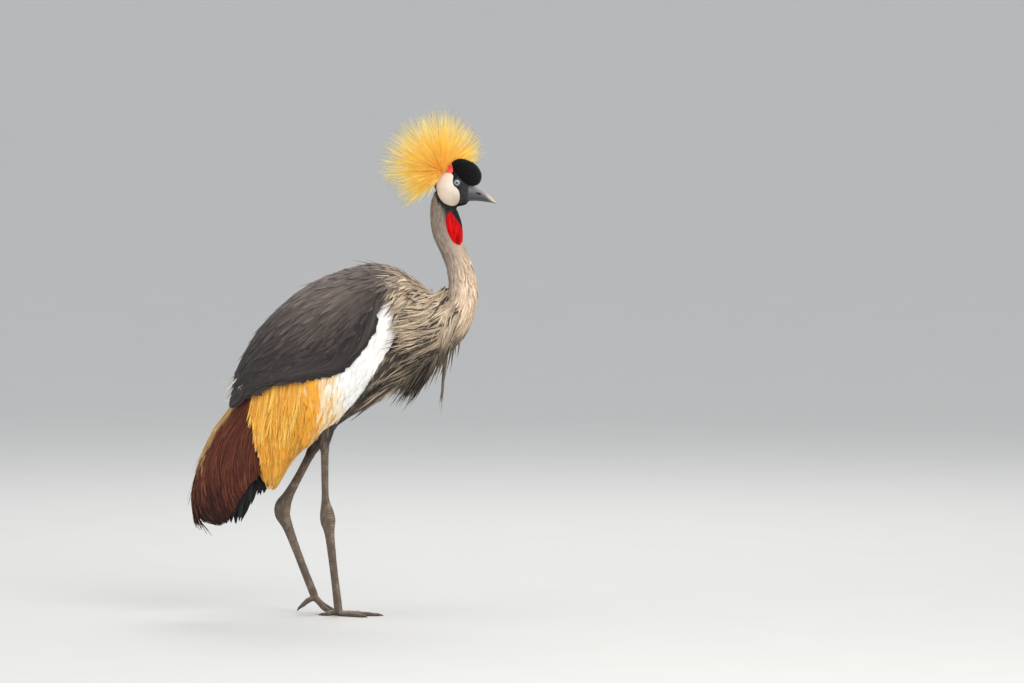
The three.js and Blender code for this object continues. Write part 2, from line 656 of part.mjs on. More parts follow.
// The two shells' edges and every feather of a colour area become one body, and stay on their own side.
function wingNodes(side, name) {
  const nodes = {};
  const under = (x) => [GREY_OUTLINE, x, -GAP];
  const half = side > 0 ? slab(GAP / 2, FAR, 0, 3 * FAR) : slab(-FAR, -GAP / 2, 0, 3 * FAR);
  const grey = shell("grey", GREY_OUTLINE, side, []);
  const white = shell("white", WHITE_OUTLINE, side, [under(0), under(GAP)]);
  const gold = shell("gold", GOLD_OUTLINE, side, [under(0), [WHITE_OUTLINE, -GAP, 0]]);
  const maroon = shell("maroon", MAROON_OUTLINE, side, [under(0), [GOLD_OUTLINE, -GAP, 0]]);
  const greyRoom = shell("grey", GREY_OUTLINE, side, [], GAP);
  const whiteRoom = shell("white", WHITE_OUTLINE, side, [], GAP);
  const goldRoom = shell("gold", GOLD_OUTLINE, side, [], GAP);
  const dress = (core, feathers, rooms) =>
    largest(unite([core, unite(feathers).intersect(half).subtract(unite([torsoRoom, ...rooms]))]));
  nodes[`wing_${name}_coverts`] = dress(grey, greyFeathers(side), []);
  nodes[`wing_${name}_white`] = dress(white, rowFeathers(WHITE_ROWS, side), [greyRoom]);
  nodes[`wing_${name}_gold`] = dress(gold, rowFeathers(GOLD_ROWS, side), [greyRoom, whiteRoom]);
  nodes[`wing_${name}_secondaries`] = dress(maroon, rowFeathers(MAROON_ROWS, side), [greyRoom, goldRoom]);
  nodes[`wing_${name}_primaries`] = primariesNode(side);
  return nodes;
}

// The space of the hanging walls of both wings, with a gap all round
function wallsRoom() {
  const wall = mantleSolid(LEVELS.gold + GAP).subtract(mantleSolid(LEVELS.maroon - WALLS.maroon - GAP));
  const windows = [
    prism(GOLD_OUTLINE, -FAR, FAR),
    prism(GOLD_OUTLINE, -FAR, FAR, -1, -1),
    prism(MAROON_OUTLINE, -FAR, FAR),
    prism(MAROON_OUTLINE, -FAR, FAR, 1, -1),
  ];
  return wall.intersect(unite(windows));
}

// Primaries: long black vanes stacked side by side inside the bustle, on a short root block under the rump
const PRIMARIES = {
  root: [[-112, 346], [-156, 346]],
  tips: [[-150, 240], [-168, 236], [-186, 238], [-190, 186], [-206, 178], [-222, 200]],
  width: 19,
  inner: 28, // how far from the middle plane the innermost lies
  pitch: 2.6, // from one to the next
};
const PRIMARIES_ROOT = [[-96, 352], [-118, 318], [-168, 330], [-160, 372]];
function primariesNode(side) {
  const { inner, pitch } = PRIMARIES;
  const count = PRIMARIES.tips.length;
  const outer = inner + pitch * count;
  const block = prism(PRIMARIES_ROOT, ...(side > 0 ? [inner - 1, outer] : [-outer, 1 - inner]));
  const vanes = PRIMARIES.tips.map((tip, i) => {
    const root = pairMix(PRIMARIES.root, i / (count - 1));
    const path = [root, [(root[0] + tip[0]) / 2 - 5, (root[1] + tip[1]) / 2], tip];
    const out = inner + pitch * (i + 0.5);
    const line = curveThrough(path.map(([x, z]) => v3(x, out, z)));
    const places = line.getSpacedPoints(3).map((point) => ({ point, normal: v3(0, 1, 0) }));
    return feather(places, { width: PRIMARIES.width, lift: [0, 0, 0], side, tip: 0.3 });
  });
  return largest(unite([block, ...vanes]).subtract(torsoRoom).subtract(wallsRoom()));
}

// Tail: black vanes fanned a little to both sides, drooping inside the bustle from a block under the rump
const TAIL = {
  root: [[-184, 346], [-189, 346]],
  tips: [[-206, 194], [-230, 190]],
  width: 20,
  spread: [10.2, 13.6], // from one vane to the next, at the roots and at the tips
};
const TAIL_ROOT = [[-166, 372], [-176, 336], [-206, 330], [-214, 352]];
function tailNode() {
  const rear = v3(-0.96, 0, 0.28).normalize();
  const vanes = [];
  TAIL.tips.forEach((tip, layer) => {
    const count = 3 - layer;
    for (let i = 0; i < count; i++) {
      const across = i - (count - 1) / 2;
      const root = v3(TAIL.root[layer][0], across * TAIL.spread[0], TAIL.root[layer][1]);
      const end = v3(tip[0], across * TAIL.spread[1], tip[1]);
      const middle = root.clone().lerp(end, 0.5).addScaledVector(rear, 6);
      const line = curveThrough([root, middle, end]);
      const places = line.getSpacedPoints(3).map((point) => ({ point, normal: rear }));
      vanes.push(feather(places, { width: TAIL.width, lift: [0, 0, 0], tip: 0.5 }));
    }
  });
  const block = prism(TAIL_ROOT, -20, 20);
  return largest(unite([block, ...vanes]).subtract(torsoRoom).subtract(wallsRoom()));
}

// Legs: the right one straight under the body, the left one trailing with its heel up
const LEGS = {
  right: {
    thigh: [
      { at: [-24, 452], deep: 34, wide: 19, out: -36 },
      { at: [-29, 400], deep: 22, wide: 15, out: -36 },
      { at: [-31, 356], deep: 10, wide: 9, out: -35 },
    ],
    leg: [
      { at: [-31, 355.7], deep: 8.6, wide: 7.2, out: -35 },
      { at: [-31, 300], deep: 7.6, wide: 6.6, out: -33 },
      { at: [-30, 240], deep: 8, wide: 7, out: -31 },
      { at: [-27, 214], deep: 14, wide: 11, out: -30 },
      { at: [-25, 196], deep: 15.5, wide: 11.5, out: -29 },
      { at: [-22, 172], deep: 10.5, wide: 8.6, out: -28 },
      { at: [-16, 120], deep: 8.4, wide: 6.8, out: -26 },
      { at: [-9, 60], deep: 8, wide: 6.6, out: -24 },
      { at: [-4, 16], deep: 8.4, wide: 8, out: -22 },
    ],
    hock: 0.5,
  },
  left: {
    thigh: [
      { at: [-8, 440], deep: 34, wide: 19, out: 36 },
      { at: [-34, 384], deep: 21, wide: 15, out: 36 },
      { at: [-58, 336], deep: 10, wide: 9, out: 36 },
    ],
    leg: [
      { at: [-58.2, 335.7], deep: 9, wide: 7.4, out: 36 },
      { at: [-84, 286], deep: 8.4, wide: 7, out: 35 },
      { at: [-106, 246], deep: 11, wide: 9, out: 34 },
      { at: [-118, 222], deep: 16.5, wide: 11.5, out: 33 },
      { at: [-119, 207], deep: 16, wide: 11.5, out: 33 },
      { at: [-109, 182], deep: 11, wide: 8.8, out: 32 },
      { at: [-91, 134], deep: 8.4, wide: 6.8, out: 30 },
      { at: [-71, 82], deep: 8, wide: 6.6, out: 28 },
      { at: [-55, 42], deep: 8.2, wide: 8, out: 26 },
    ],
    hock: 0.43,
  },
};

// Each foot: where the toes meet, and each toe's turn and joints ahead of it, as distance and height. The
// last two are the claw's root and tip.
const FEET = {
  right: {
    palm: [-3, -22, 7.4],
    toes: {
      inner: { turn: 34, joints: [[0, 6], [24, 4.6], [46, 3.9], [58, 2.9], [70, 1.4]] },
      middle: { turn: -4, joints: [[0, 6], [30, 4.6], [58, 3.9], [78, 2.9], [92, 1.4]] },
      outer: { turn: -40, joints: [[0, 6], [26, 4.6], [48, 3.9], [64, 2.9], [77, 1.4]] },
      hind: { turn: 172, joints: [[0, 9], [14, 6.4], [24, 4], [32, 2.9], [42, 1.4]] },
    },
  },
  left: {
    palm: [-54, 26, 36],
    toes: {
      inner: { turn: -32, joints: [[2, 34], [24, 14], [44, 3.9], [56, 2.9], [69, 1.4]] },
      middle: { turn: 4, joints: [[2, 34], [26, 14], [52, 3.9], [74, 2.9], [88, 1.4]] },
      outer: { turn: 38, joints: [[2, 34], [24, 14], [46, 3.9], [62, 2.9], [75, 1.4]] },
      hind: { turn: 184, joints: [[0, 34], [14, 27], [22, 20], [28, 15], [35, 7]] },
    },
  },
};
// The radii at those joints are over the heights ahead, so that soles and claws rest on small flats.
const TOE_RADII = [6.2, 5.3, 4.6, 3.4, 0.8];

function toe([x, y], { turn, joints }, from, to, steps, lead = 0) {
  const angle = THREE.MathUtils.degToRad(turn);
  const rows = joints.map(([ahead, z]) => v3(x + Math.cos(angle) * ahead, y + Math.sin(angle) * ahead, z));
  const path = curveThrough(rows);
  const radii = curveThrough(TOE_RADII.map((r, i) => v3(r, i * 10, 0)));
  const rings = [];
  for (let i = 0; i <= steps; i++) {
    const t = mix(from, to, i / steps);
    const centre = path.getPoint(t);
    const along = path.getTangent(t);
    const across = new THREE.Vector3().crossVectors(v3(0, 0, 1), along).normalize();
    const up = new THREE.Vector3().crossVectors(along, across).normalize();
    if (i === 0) centre.addScaledVector(along, lead);
    const radius = radii.getPoint(t).x;
    const ring = [];
    for (let s = 0; s < TOE_SIDES; s++) {
      const a = (2 * Math.PI * (s + 0.5)) / TOE_SIDES;
      const point = centre.clone().addScaledVector(across, Math.cos(a) * radius);
      ring.push(point.addScaledVector(up, Math.sin(a) * radius));
    }
    rings.push(ring);
  }
  return skinRings(rings);
}

const CLAW_FROM = 0.72; // share of a toe's length where its claw begins
const wingRoom = mantleSolid(LEVELS.white + GAP).subtract(mantleSolid(LEVELS.gold - WALLS.gold - GAP));
function legNodes(name) {
  const { thigh, leg, hock } = LEGS[name];
  const { palm, toes } = FEET[name];
  const nodes = {};
  const floor = above(0);
  const rooms = unite([torsoRoom, wingRoom]);
  nodes[`thigh_${name}`] = largest(limb(thigh, { steps: 5, sides: 14 }).subtract(rooms));
  nodes[`shank_${name}`] = limb(leg, { steps: 9, sides: LEG_SIDES, from: 0, to: hock, lead: GAP });
  nodes[`tarsus_${name}`] = limb(leg, { steps: 9, sides: LEG_SIDES, from: hock, to: 1, lead: GAP });
  const tarsusRoom = limb(leg, { steps: 9, sides: LEG_SIDES, from: hock, to: 1, lead: GAP, grow: GAP });
  const pad = toSolid(new THREE.SphereGeometry(1, 8, 5).scale(9, 9, 8).translate(...palm));
  const fingers = Object.values(toes).map((t) => toe(palm, t, 0, CLAW_FROM, 3));
  nodes[`foot_${name}`] = largest(unite([pad, ...fingers]).subtract(tarsusRoom).intersect(floor));
  for (const [toeName, t] of Object.entries(toes)) {
    const claw = toe(palm, t, CLAW_FROM, 1, 2, GAP);
    nodes[`claw_${name}_${toeName}`] = largest(claw.intersect(floor));
  }
  return nodes;
}

// Colours and finishes of the plain model
const FINISHES = {
  torso: [0x77706d, 0.8],
  head: [0x1d1b1e, 0.7],
  cheek: [0xe9ddd0, 0.6],
  red: [0xc8161c, 0.5],
  bill: [0x4c4a50, 0.4],
  cap: [0x0a0a0c, 0.95],
  crest: [0xd9a441, 0.6],
  eye: [0x9fc2cf, 0.1],
  neck: [0xb7aaa2, 0.8],
  grey: [0x5b5458, 0.75],
  white: [0xf3eee6, 0.8],
  gold: [0xe09a35, 0.7],
  maroon: [0x55261f, 0.7],
  black: [0x17161a, 0.7],
  leg: [0x6a5a58, 0.6],
  claw: [0x2a2627, 0.4],
};
const FINISH_OF = [
  [/^head/, "head"], [/^cheek/, "cheek"], [/^(wattle|red)/, "red"], [/^bill/, "bill"], [/^cap/, "cap"],
  [/^crest/, "crest"], [/^eye/, "eye"], [/^neck/, "neck"], [/coverts$/, "grey"], [/white$/, "white"],
  [/gold$/, "gold"], [/secondaries$/, "maroon"], [/(primaries|^tail)/, "black"], [/^claw/, "claw"],
  [/^(shank|tarsus|foot)/, "leg"], [/./, "torso"],
];

function toMesh(name, solid) {
  const made = solid.getMesh();
  const geometry = new THREE.BufferGeometry();
  const count = made.numVert;
  const positions = new Float32Array(count * 3);
  for (let i = 0; i < count; i++) {
    const first = i * made.numProp;
    positions.set(made.vertProperties.subarray(first, first + 3), i * 3);
  }
  geometry.setAttribute("position", new THREE.BufferAttribute(positions, 3));
  geometry.setIndex(Array.from(made.triVerts));
  geometry.computeVertexNormals();
  const [colour, roughness] = FINISHES[FINISH_OF.find(([pattern]) => pattern.test(name))[1]];
  const finish = new THREE.MeshStandardMaterial({ color: colour, roughness, metalness: 0 });
  const mesh = new THREE.Mesh(geometry, finish);
  mesh.name = name;
  return mesh;
}

const solids = {
  torso: torsoForm(0),
  head: headNode(),
  cap: largest(capForm(0).subtract(headForm(GAP)).subtract(neckForm(GAP)).subtract(lidRoom())),
  ...billNodes(),
  wattle: wattleNode(),
  neck_upper: largest(headAndNeck.intersect(between(MID_NECK_Z + GAP / 2, HEAD_BASE_Z - GAP / 2))),
  neck_lower: lowerNeckNode(),
  crest: crestNode(),
  tail: tailNode(),
  ...legNodes("right"),
  ...legNodes("left"),
};
for (const [name, side] of [["left", 1], ["right", -1]]) {
  solids[`eye_${name}`] = eyeBall(side, EYE_RADIUS);
  solids[`cheek_${name}`] = cheekPlate(side, CHEEK_OUTLINE, CHEEK_PROUD);
  solids[`red_patch_${name}`] = cheekPlate(side, RED_PATCH_OUTLINE, RED_PATCH_PROUD);
  Object.assign(solids, wingNodes(side, name));
}

const crane = new THREE.Group();
crane.name = "crane";
for (const [name, solid] of Object.entries(solids)) crane.add(toMesh(name, solid));
const bounds = new THREE.Box3().setFromObject(crane);
const middle = bounds.getCenter(new THREE.Vector3());
crane.position.set(-middle.x, -middle.y, -bounds.min.z);

export default crane;
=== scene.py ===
"""A grey crowned crane as a still museum model, life size, with the plumage laid feather by feather."""
import math

import bpy
import numpy as np
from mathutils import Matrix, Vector
from mathutils.bvhtree import BVHTree


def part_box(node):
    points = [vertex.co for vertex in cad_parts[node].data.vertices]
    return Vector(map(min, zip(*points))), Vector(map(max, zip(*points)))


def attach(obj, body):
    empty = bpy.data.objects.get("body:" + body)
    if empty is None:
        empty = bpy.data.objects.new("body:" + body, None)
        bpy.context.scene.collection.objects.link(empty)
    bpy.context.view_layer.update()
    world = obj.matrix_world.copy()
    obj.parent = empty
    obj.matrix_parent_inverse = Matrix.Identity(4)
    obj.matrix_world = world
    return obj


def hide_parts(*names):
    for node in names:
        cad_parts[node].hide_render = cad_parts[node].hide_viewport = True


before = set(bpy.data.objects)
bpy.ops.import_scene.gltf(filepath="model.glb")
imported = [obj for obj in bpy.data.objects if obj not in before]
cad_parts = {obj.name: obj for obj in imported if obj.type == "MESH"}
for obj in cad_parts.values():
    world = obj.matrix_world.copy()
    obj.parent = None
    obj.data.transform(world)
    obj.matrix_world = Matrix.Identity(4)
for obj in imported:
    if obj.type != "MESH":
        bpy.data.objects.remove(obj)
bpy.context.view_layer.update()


# The place the bird stands in: a wide plain pale floor, a long lens at the bird's right side, and large
# soft lamps. The bird is drawn in millimetres, from a point on the floor between its feet.
EYE_AT = (240, 14.5, 890)
EYES = [[sum(corner) / 2 for corner in zip(*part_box(f"eye_{side}"))] for side in ("left", "right")]
HOME = np.array([(EYES[0][0] + EYES[1][0]) / 2 - EYE_AT[0] / 1000, (EYES[0][1] + EYES[1][1]) / 2, 0])
AIM, ELEVATION, DISTANCE = (352.6, 0, 562.7), math.radians(3.5), 35.0
FLOOR_HALF = 90.0
LAMPS = [
    ("key", (1.8, -3.3, 3.1), 2.6, 128.0, (1.0, 0.965, 0.90)),
    ("fill", (-3.6, -3.0, 1.6), 3.0, 36.0, (0.95, 0.97, 1.0)),
    ("rear", (0.6, 3.2, 3.4), 2.4, 80.0, (1.0, 0.98, 0.94)),
    ("above", (-0.4, -0.2, 4.2), 2.6, 34.0, (1.0, 0.98, 0.95)),
]


def metres(points):
    return np.asarray(points, float) / 1000 + HOME


class Socket:
    """A value or colour in a finish. Sums and products of values add Math nodes."""

    def __init__(self, tree, link):
        self.tree, self.link = tree, link

    def node(self, kind, settings=None, inputs=None, out=0):
        made = self.tree.nodes.new(kind)
        for key, value in (settings or {}).items():
            setattr(made, key, value)
        for key, value in (inputs or {}).items():
            if isinstance(value, Socket):
                self.tree.links.new(value.link, made.inputs[key])
            else:
                made.inputs[key].default_value = value
        return Socket(self.tree, made.outputs[out])

    def math(self, operation, *others):
        return self.node("ShaderNodeMath", {"operation": operation}, dict(enumerate((self, *others))))

    def __add__(self, other): return self.math("ADD", other)
    def __sub__(self, other): return self.math("SUBTRACT", other)
    def __mul__(self, other): return self.math("MULTIPLY", other)
    def __radd__(self, other): return self + other
    def __rmul__(self, other): return self * other
    def __rsub__(self, other): return self * -1 + other

    def between(self, low, high):
        inputs = {"Value": self, "From Min": low, "From Max": high}
        return self.node("ShaderNodeMapRange", {"interpolation_type": "SMOOTHSTEP"}, inputs)

    def mix(self, first, second):
        first, second = ((*tone, 1) if isinstance(tone, tuple) else tone for tone in (first, second))
        return self.node("ShaderNodeMix", {"data_type": "RGBA"}, {"Factor": self, 6: first, 7: second}, 2)

    def shaded(self, amount):
        grey = self.node("ShaderNodeCombineColor", None, {0: amount, 1: amount, 2: amount})
        settings = {"data_type": "RGBA", "blend_type": "MULTIPLY"}
        return self.node("ShaderNodeMix", settings, {"Factor": 1.0, 6: self, 7: grey}, 2)

    def parts(self):
        """The x, y and z of a place."""
        split = self.node("ShaderNodeSeparateXYZ", None, {0: self})
        return [Socket(self.tree, end) for end in split.link.node.outputs]


def finish(name, paint, roughness=0.6, **constants):
    """A material. paint(start) gives its colour, and may give a relief, a roughness and a glow."""
    made = bpy.data.materials.new(name)
    made.use_nodes = True
    tree = made.node_tree
    shader = next(node for node in tree.nodes if node.type == "BSDF_PRINCIPLED")
    for key, value in {"roughness": roughness, **constants}.items():
        shader.inputs[key.replace("_", " ").title().replace("Ior", "IOR")].default_value = value
    look = paint(Socket(tree, None))
    for key, entry in (("colour", "Base Color"), ("roughness", "Roughness"), ("glow", "Emission Color")):
        if key in look:
            tree.links.new(look[key].link, shader.inputs[entry])
    if "relief" in look:
        height, strength, distance = look["relief"]
        inputs = {"Height": height, "Strength": strength, "Distance": distance}
        tree.links.new(height.node("ShaderNodeBump", None, inputs).link, shader.inputs["Normal"])
    return made


def object_place(start, scale=1.0):
    place = start.node("ShaderNodeTexCoord", None, None, "Object")
    scale = scale if isinstance(scale, tuple) else (scale,) * 3
    return start.node("ShaderNodeVectorMath", {"operation": "MULTIPLY"}, {0: place, 1: scale})


def noise(start, scale, detail=4.0, stretch=(1, 1, 1)):
    inputs = {"Vector": object_place(start, stretch), "Scale": scale, "Detail": detail}
    return start.node("ShaderNodeTexNoise", None, inputs)


def floor_paint(start):
    colour = noise(start, 6.0).mix((0.46, 0.46, 0.452), (0.485, 0.483, 0.474))
    return {"colour": colour, "relief": (noise(start, 900.0), 0.05, 0.001)}


def placed(name, data, where):
    made = bpy.data.objects.new(name, data)
    made.location = where
    bpy.context.collection.objects.link(made)
    return made


floor_mesh = bpy.data.meshes.new("studio_floor")
corners = [(x * FLOOR_HALF, y * FLOOR_HALF, 0.0) for x, y in ((-1, -1), (1, -1), (1, 1), (-1, 1))]
floor_mesh.from_pydata(corners, [], [(0, 1, 2, 3)])
floor_mesh.materials.append(finish("studio_floor", floor_paint, 0.85))
placed("studio_floor", floor_mesh, (0, 0, 0))
lens = bpy.data.cameras.new("camera")
lens.lens, lens.sensor_width, lens.clip_end = 600, 36, 200
away = Vector((0, -math.cos(ELEVATION), math.sin(ELEVATION)))
camera = placed("camera", lens, Vector(metres(AIM)) + away * DISTANCE)
camera.rotation_euler = (math.pi / 2 - ELEVATION, 0, 0)
bpy.context.scene.camera = camera
for name, place, size, power, colour in LAMPS:
    lamp = bpy.data.lights.new(name, "AREA")
    lamp.size, lamp.energy, lamp.color = size, power, colour
    turned = (Vector((0, 0, 0.6)) - Vector(place)).to_track_quat("-Z", "Y").to_euler()
    placed(name, lamp, place).rotation_euler = turned
world = bpy.data.worlds.new("studio")
world.use_nodes = True
world.node_tree.nodes["Background"].inputs["Color"].default_value = (0.95, 0.97, 1.0, 1)
world.node_tree.nodes["Background"].inputs["Strength"].default_value = 0.95
bpy.context.scene.world = world
bpy.context.scene.view_settings.view_transform = "Standard"
bpy.context.scene.view_settings.look = "None"


# The skin: one closed body of flesh with both thighs, as a mounted skin is over its form. It carries the
# markings of the coat, and every feather is set in it. The mantle's rows are top x and z, low x and z, and
# half width. Those of the neck, head and thighs are x, z, half depth, half width, and a y for a thigh.
MANTLE = [
    (189, 666, 271, 611, 42), (154, 693, 225, 545, 66), (113, 715, 174, 508, 88), (61, 722, 113, 461, 102),
    (0, 707, 61, 426, 107), (-61, 681, 10, 392, 106), (-119, 638, -45, 351, 101), (-168, 584, -88, 310, 93),
    (-205, 521, -123, 254, 83), (-234, 443, -160, 238, 72), (-275, 381, -189, 207, 61),
    (-303, 316, -215, 180, 50), (-318, 248, -246, 172, 36), (-314, 201, -287, 180, 18),
]
FLESH_DEPTHS = [
    (6, 5, 8), (9, 5, 14), (13, 5, 18), (16, 5, 20), (17, 6, 22), (18, 8, 24), (20, 16, 28), (32, 56, 36),
    (56, 96, 46), (72, 98, 52),
]
NECK = [
    (214, 868, 25, 19), (213, 845, 29, 20), (211, 820, 28, 20), (216, 787, 28, 20), (232, 750, 27, 20),
    (247, 709, 28, 22), (252, 668, 31, 26), (243, 632, 37, 34), (219, 598, 45, 42), (188, 577, 49, 46),
]
HEAD = [
    (195, 884, 5, 5), (200, 883, 17, 12), (208, 881, 29, 18), (220, 879, 37, 22),
    (234, 878, 39, 22), (247, 874, 33, 18), (258, 869, 25, 14), (266, 868, 18, 11),
]
THIGHS = {
    "right": [(-24, 452, 34, 19, -36), (-29, 400, 22, 15, -36), (-31, 356, 10, 9, -35)],
    "left": [(-8, 440, 34, 19, 36), (-34, 384, 21, 15, 36), (-58, 336, 10, 9, 36)],
}
COAT_DEPTH, HEAD_COAT_DEPTH, THIGH_COAT_DEPTH = 3.0, 0.8, 2.0
FLESH_END = 9 / 13


def through(rows, count):
    """A smooth line through rows of numbers, read off at evenly counted places."""
    rows = np.asarray(rows, float)
    rows = np.vstack([2 * rows[0] - rows[1], rows, 2 * rows[-1] - rows[-2]])
    t = np.linspace(0, len(rows) - 3, count)
    i = np.minimum(t.astype(int), len(rows) - 4)
    w = (t - i)[:, None]
    p0, p1, p2, p3 = (rows[i + k] for k in range(4))
    gaps = ((p0, p1), (p1, p2), (p2, p3))
    d0, d1, d2 = (np.linalg.norm(a - b, axis=1)[:, None] ** 0.5 + 1e-9 for a, b in gaps)
    m1 = ((p1 - p0) / d0 - (p2 - p0) / (d0 + d1) + (p2 - p1) / d1) * d1
    m2 = ((p2 - p1) / d1 - (p3 - p1) / (d1 + d2) + (p3 - p2) / d2) * d1
    return p1 + w * m1 + w**2 * (3 * (p2 - p1) - 2 * m1 - m2) + w**3 * (2 * (p1 - p2) + m1 + m2)


def unit(vectors):
    return vectors / np.maximum(np.linalg.norm(vectors, axis=-1, keepdims=True), 1e-9)


class Form:
    """A smooth form that can be asked for the place at (u, v): u runs along it and v round it."""

    def __init__(self, rows, kind, shrink=0.0):
        self.rows, self.kind, self.shrink = through(rows, 400), kind, shrink
        self.far = 0.5
        if kind == "mantle":
            self.far = 1.0
            return
        ahead = unit(np.gradient(self.rows[:, :2], axis=0))
        self.across = np.stack([-ahead[:, 1], ahead[:, 0]], 1)
        if kind == "upright":
            self.across = np.stack([np.zeros(len(ahead)), np.ones(len(ahead))], 1)

    def at(self, u, v, side=1):
        u, v = np.broadcast_arrays(np.asarray(u, float), np.asarray(v, float))
        spot = np.clip(u, 0, 1) * (len(self.rows) - 1)
        row = lambda column: np.interp(spot, np.arange(len(self.rows)), column)
        if self.kind == "mantle":
            v = np.clip(v, 0.0, 1.0)
            s = (1 - np.cos(np.pi * v)) / 2
            top_x, top_z, low_x, low_z, half = (row(column) for column in self.rows.T[:5])
            y = side * np.maximum(half - self.shrink, 1) * np.sin(np.pi * v) ** 0.72
            return np.stack([top_x + (low_x - top_x) * s, y, top_z + (low_z - top_z) * s], -1)
        x, z, deep, wide = (row(column) for column in self.rows.T[:4])
        middle = row(self.rows[:, 4]) if self.rows.shape[1] > 4 else 0.0
        turn = 2 * np.pi * v
        reach = np.maximum(deep - self.shrink, 0.5) * np.cos(turn)
        y = middle + side * np.maximum(wide - self.shrink, 0.5) * np.sin(turn)
        return np.stack([x + row(self.across[:, 0]) * reach, y, z + row(self.across[:, 1]) * reach], -1)

    def slopes(self, u, v, side=1):
        e = 0.002
        along = (self.at(u + e, v, side) - self.at(u - e, v, side)) / (2 * e)
        round_ = (self.at(u, v + e, side) - self.at(u, v - e, side)) / (2 * e)
        return along, round_

    def outward(self, u, v, side=1):
        normal = unit(np.cross(*self.slopes(u, v, side)))
        middle = (self.at(u, 0.0 * v, side) + self.at(u, 0.0 * v + self.far, side)) / 2
        flip = np.sign(np.sum(normal * (self.at(u, v, side) - middle), -1, keepdims=True))
        return normal * np.where(flip == 0, 1, flip)


def ring_faces(count, sides):
    """The faces of rings of points set one after another, with a face over each end."""
    i, j = np.meshgrid(np.arange(count - 1), np.arange(sides), indexing="ij")
    k = (j + 1) % sides
    corners = [i * sides + j, i * sides + k, (i + 1) * sides + k, (i + 1) * sides + j]
    ends = [list(range(sides))[::-1], list(range((count - 1) * sides, count * sides))]
    return [*np.stack(corners, -1).reshape(-1, 4).tolist(), *ends]


def rings(form, count, sides, side=1):
    u, v = np.meshgrid(np.linspace(0, 1, count), np.arange(sides) / sides, indexing="ij")
    return form.at(u.ravel(), v.ravel(), side), ring_faces(count, sides)


def both_sides(form, count, half, inner):
    """The mantle's closed rings, right half and left half, drawn in by the flesh's own depths."""
    points = []
    v = np.linspace(0, 1, half)
    for u, (top, low, flank) in zip(np.linspace(0, inner, count), through(FLESH_DEPTHS, count)):
        ends = form.at(np.array([u, u]), np.array([0.0, 1.0]), 1)
        up = unit(ends[0] - ends[1])
        width = form.at(np.array([u]), np.array([0.5]))[0, 1]
        for side, row in ((1, v[:-1]), (-1, v[::-1][:-1])):
            s = (1 - np.cos(np.pi * row)) / 2
            ring = form.at(np.full(len(row), u), row, side) - up * ((1 - s) * top - s * low)[:, None]
            ring[:, 1] *= max(width - flank, 4) / max(width, 1)
            points.append(ring)
    return np.vstack(points), ring_faces(count, 2 * (half - 1))


def joined(parts):
    points, faces, base = [], [], 0
    for more, rest in parts:
        points.append(np.asarray(more, float))
        faces += [[index + base for index in face] for face in rest]
        base += len(more)
    return np.vstack(points), faces


def fused(name, parts, voxel, smoothing=4):
    """Closed forms grown into one skin: a voxel remesh, then a light smoothing."""
    points, faces = joined(parts)
    rough = bpy.data.meshes.new(name + "_form")
    rough.from_pydata((points / 1000).tolist(), [], faces)
    holder = placed(name + "_form", rough, (0, 0, 0))
    grown = holder.modifiers.new("grown", "REMESH")
    grown.mode, grown.voxel_size = "VOXEL", voxel / 1000
    eased = holder.modifiers.new("eased", "SMOOTH")
    eased.factor, eased.iterations = 0.5, smoothing
    evaluated = holder.evaluated_get(bpy.context.evaluated_depsgraph_get())
    made = bpy.data.meshes.new_from_object(evaluated)
    points = np.empty(len(made.vertices) * 3)
    made.vertices.foreach_get("co", points)
    faces = [list(face.vertices) for face in made.polygons]
    bpy.data.objects.remove(holder)
    bpy.data.meshes.remove(rough)
    bpy.data.meshes.remove(made)
    return points.reshape(-1, 3) * 1000, faces


def piece(name, points, faces, look, slot, replaced=(), tints=None, values=None, maps=None):
    mesh = bpy.data.meshes.new(name)
    mesh.from_pydata(metres(points).tolist(), [], faces)
    mesh.shade_smooth()
    mesh.materials.append(look)
    if tints is not None:
        rgba = np.ones((len(points), 4), np.float32)
        rgba[:, :3] = np.clip(tints, 0, 1)
        mesh.attributes.new("tint", "FLOAT_COLOR", "POINT").data.foreach_set("color", rgba.ravel())
    for key, value in (values or {}).items():
        layer = mesh.attributes.new(key, "FLOAT", "POINT")
        layer.data.foreach_set("value", np.asarray(value, np.float32))
    corners = np.empty(len(mesh.loops), int)
    mesh.loops.foreach_get("vertex_index", corners)
    for key, value in (maps or {}).items():
        layer = mesh.uv_layers.new(name=key)
        layer.data.foreach_set("uv", np.asarray(value, np.float32)[corners].ravel())
    made = placed(name, mesh, (0, 0, 0))
    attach(made, "root")
    if replaced:
        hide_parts(*replaced)
    return made


def ease(value, low, high):
    t = np.clip((value - low) / (high - low), 0, 1)
    return t * t * (3 - 2 * t)


def blend(first, second, amount):
    amount = np.asarray(amount)[..., None]
    return np.asarray(first) * (1 - amount) + np.asarray(second) * amount


GREY_EDGE = [
    (-228, 426), (-184, 461), (-160, 476), (-133, 484), (-72, 496), (-10, 508),
    (10, 520), (37, 545), (61, 578), (75, 612), (86, 650), (104, 672),
]
BELLY_EDGE = [(-22, 367), (10, 404), (39, 437), (68, 482), (88, 521), (107, 566), (131, 640)]
NAPE_LINE = [(600, 215), (632, 243), (668, 252), (709, 247), (750, 232), (787, 216), (830, 212)]
NECK_GREY, NECK_PALE, NECK_DARK = (0.34, 0.27, 0.22), (0.62, 0.475, 0.345), (0.18, 0.145, 0.12)
BACK_GREY, WING_GREY = (0.118, 0.092, 0.081), (0.047, 0.037, 0.034)
WING_DARK, SHOULDER = (0.022, 0.018, 0.0175), (0.30, 0.23, 0.18)
WHITE, CREAM = (0.98, 0.97, 0.94), (0.97, 0.76, 0.46)
GOLD, GOLD_DEEP, GOLD_LIGHT = (0.90, 0.40, 0.040), (0.62, 0.24, 0.018), (0.98, 0.64, 0.17)
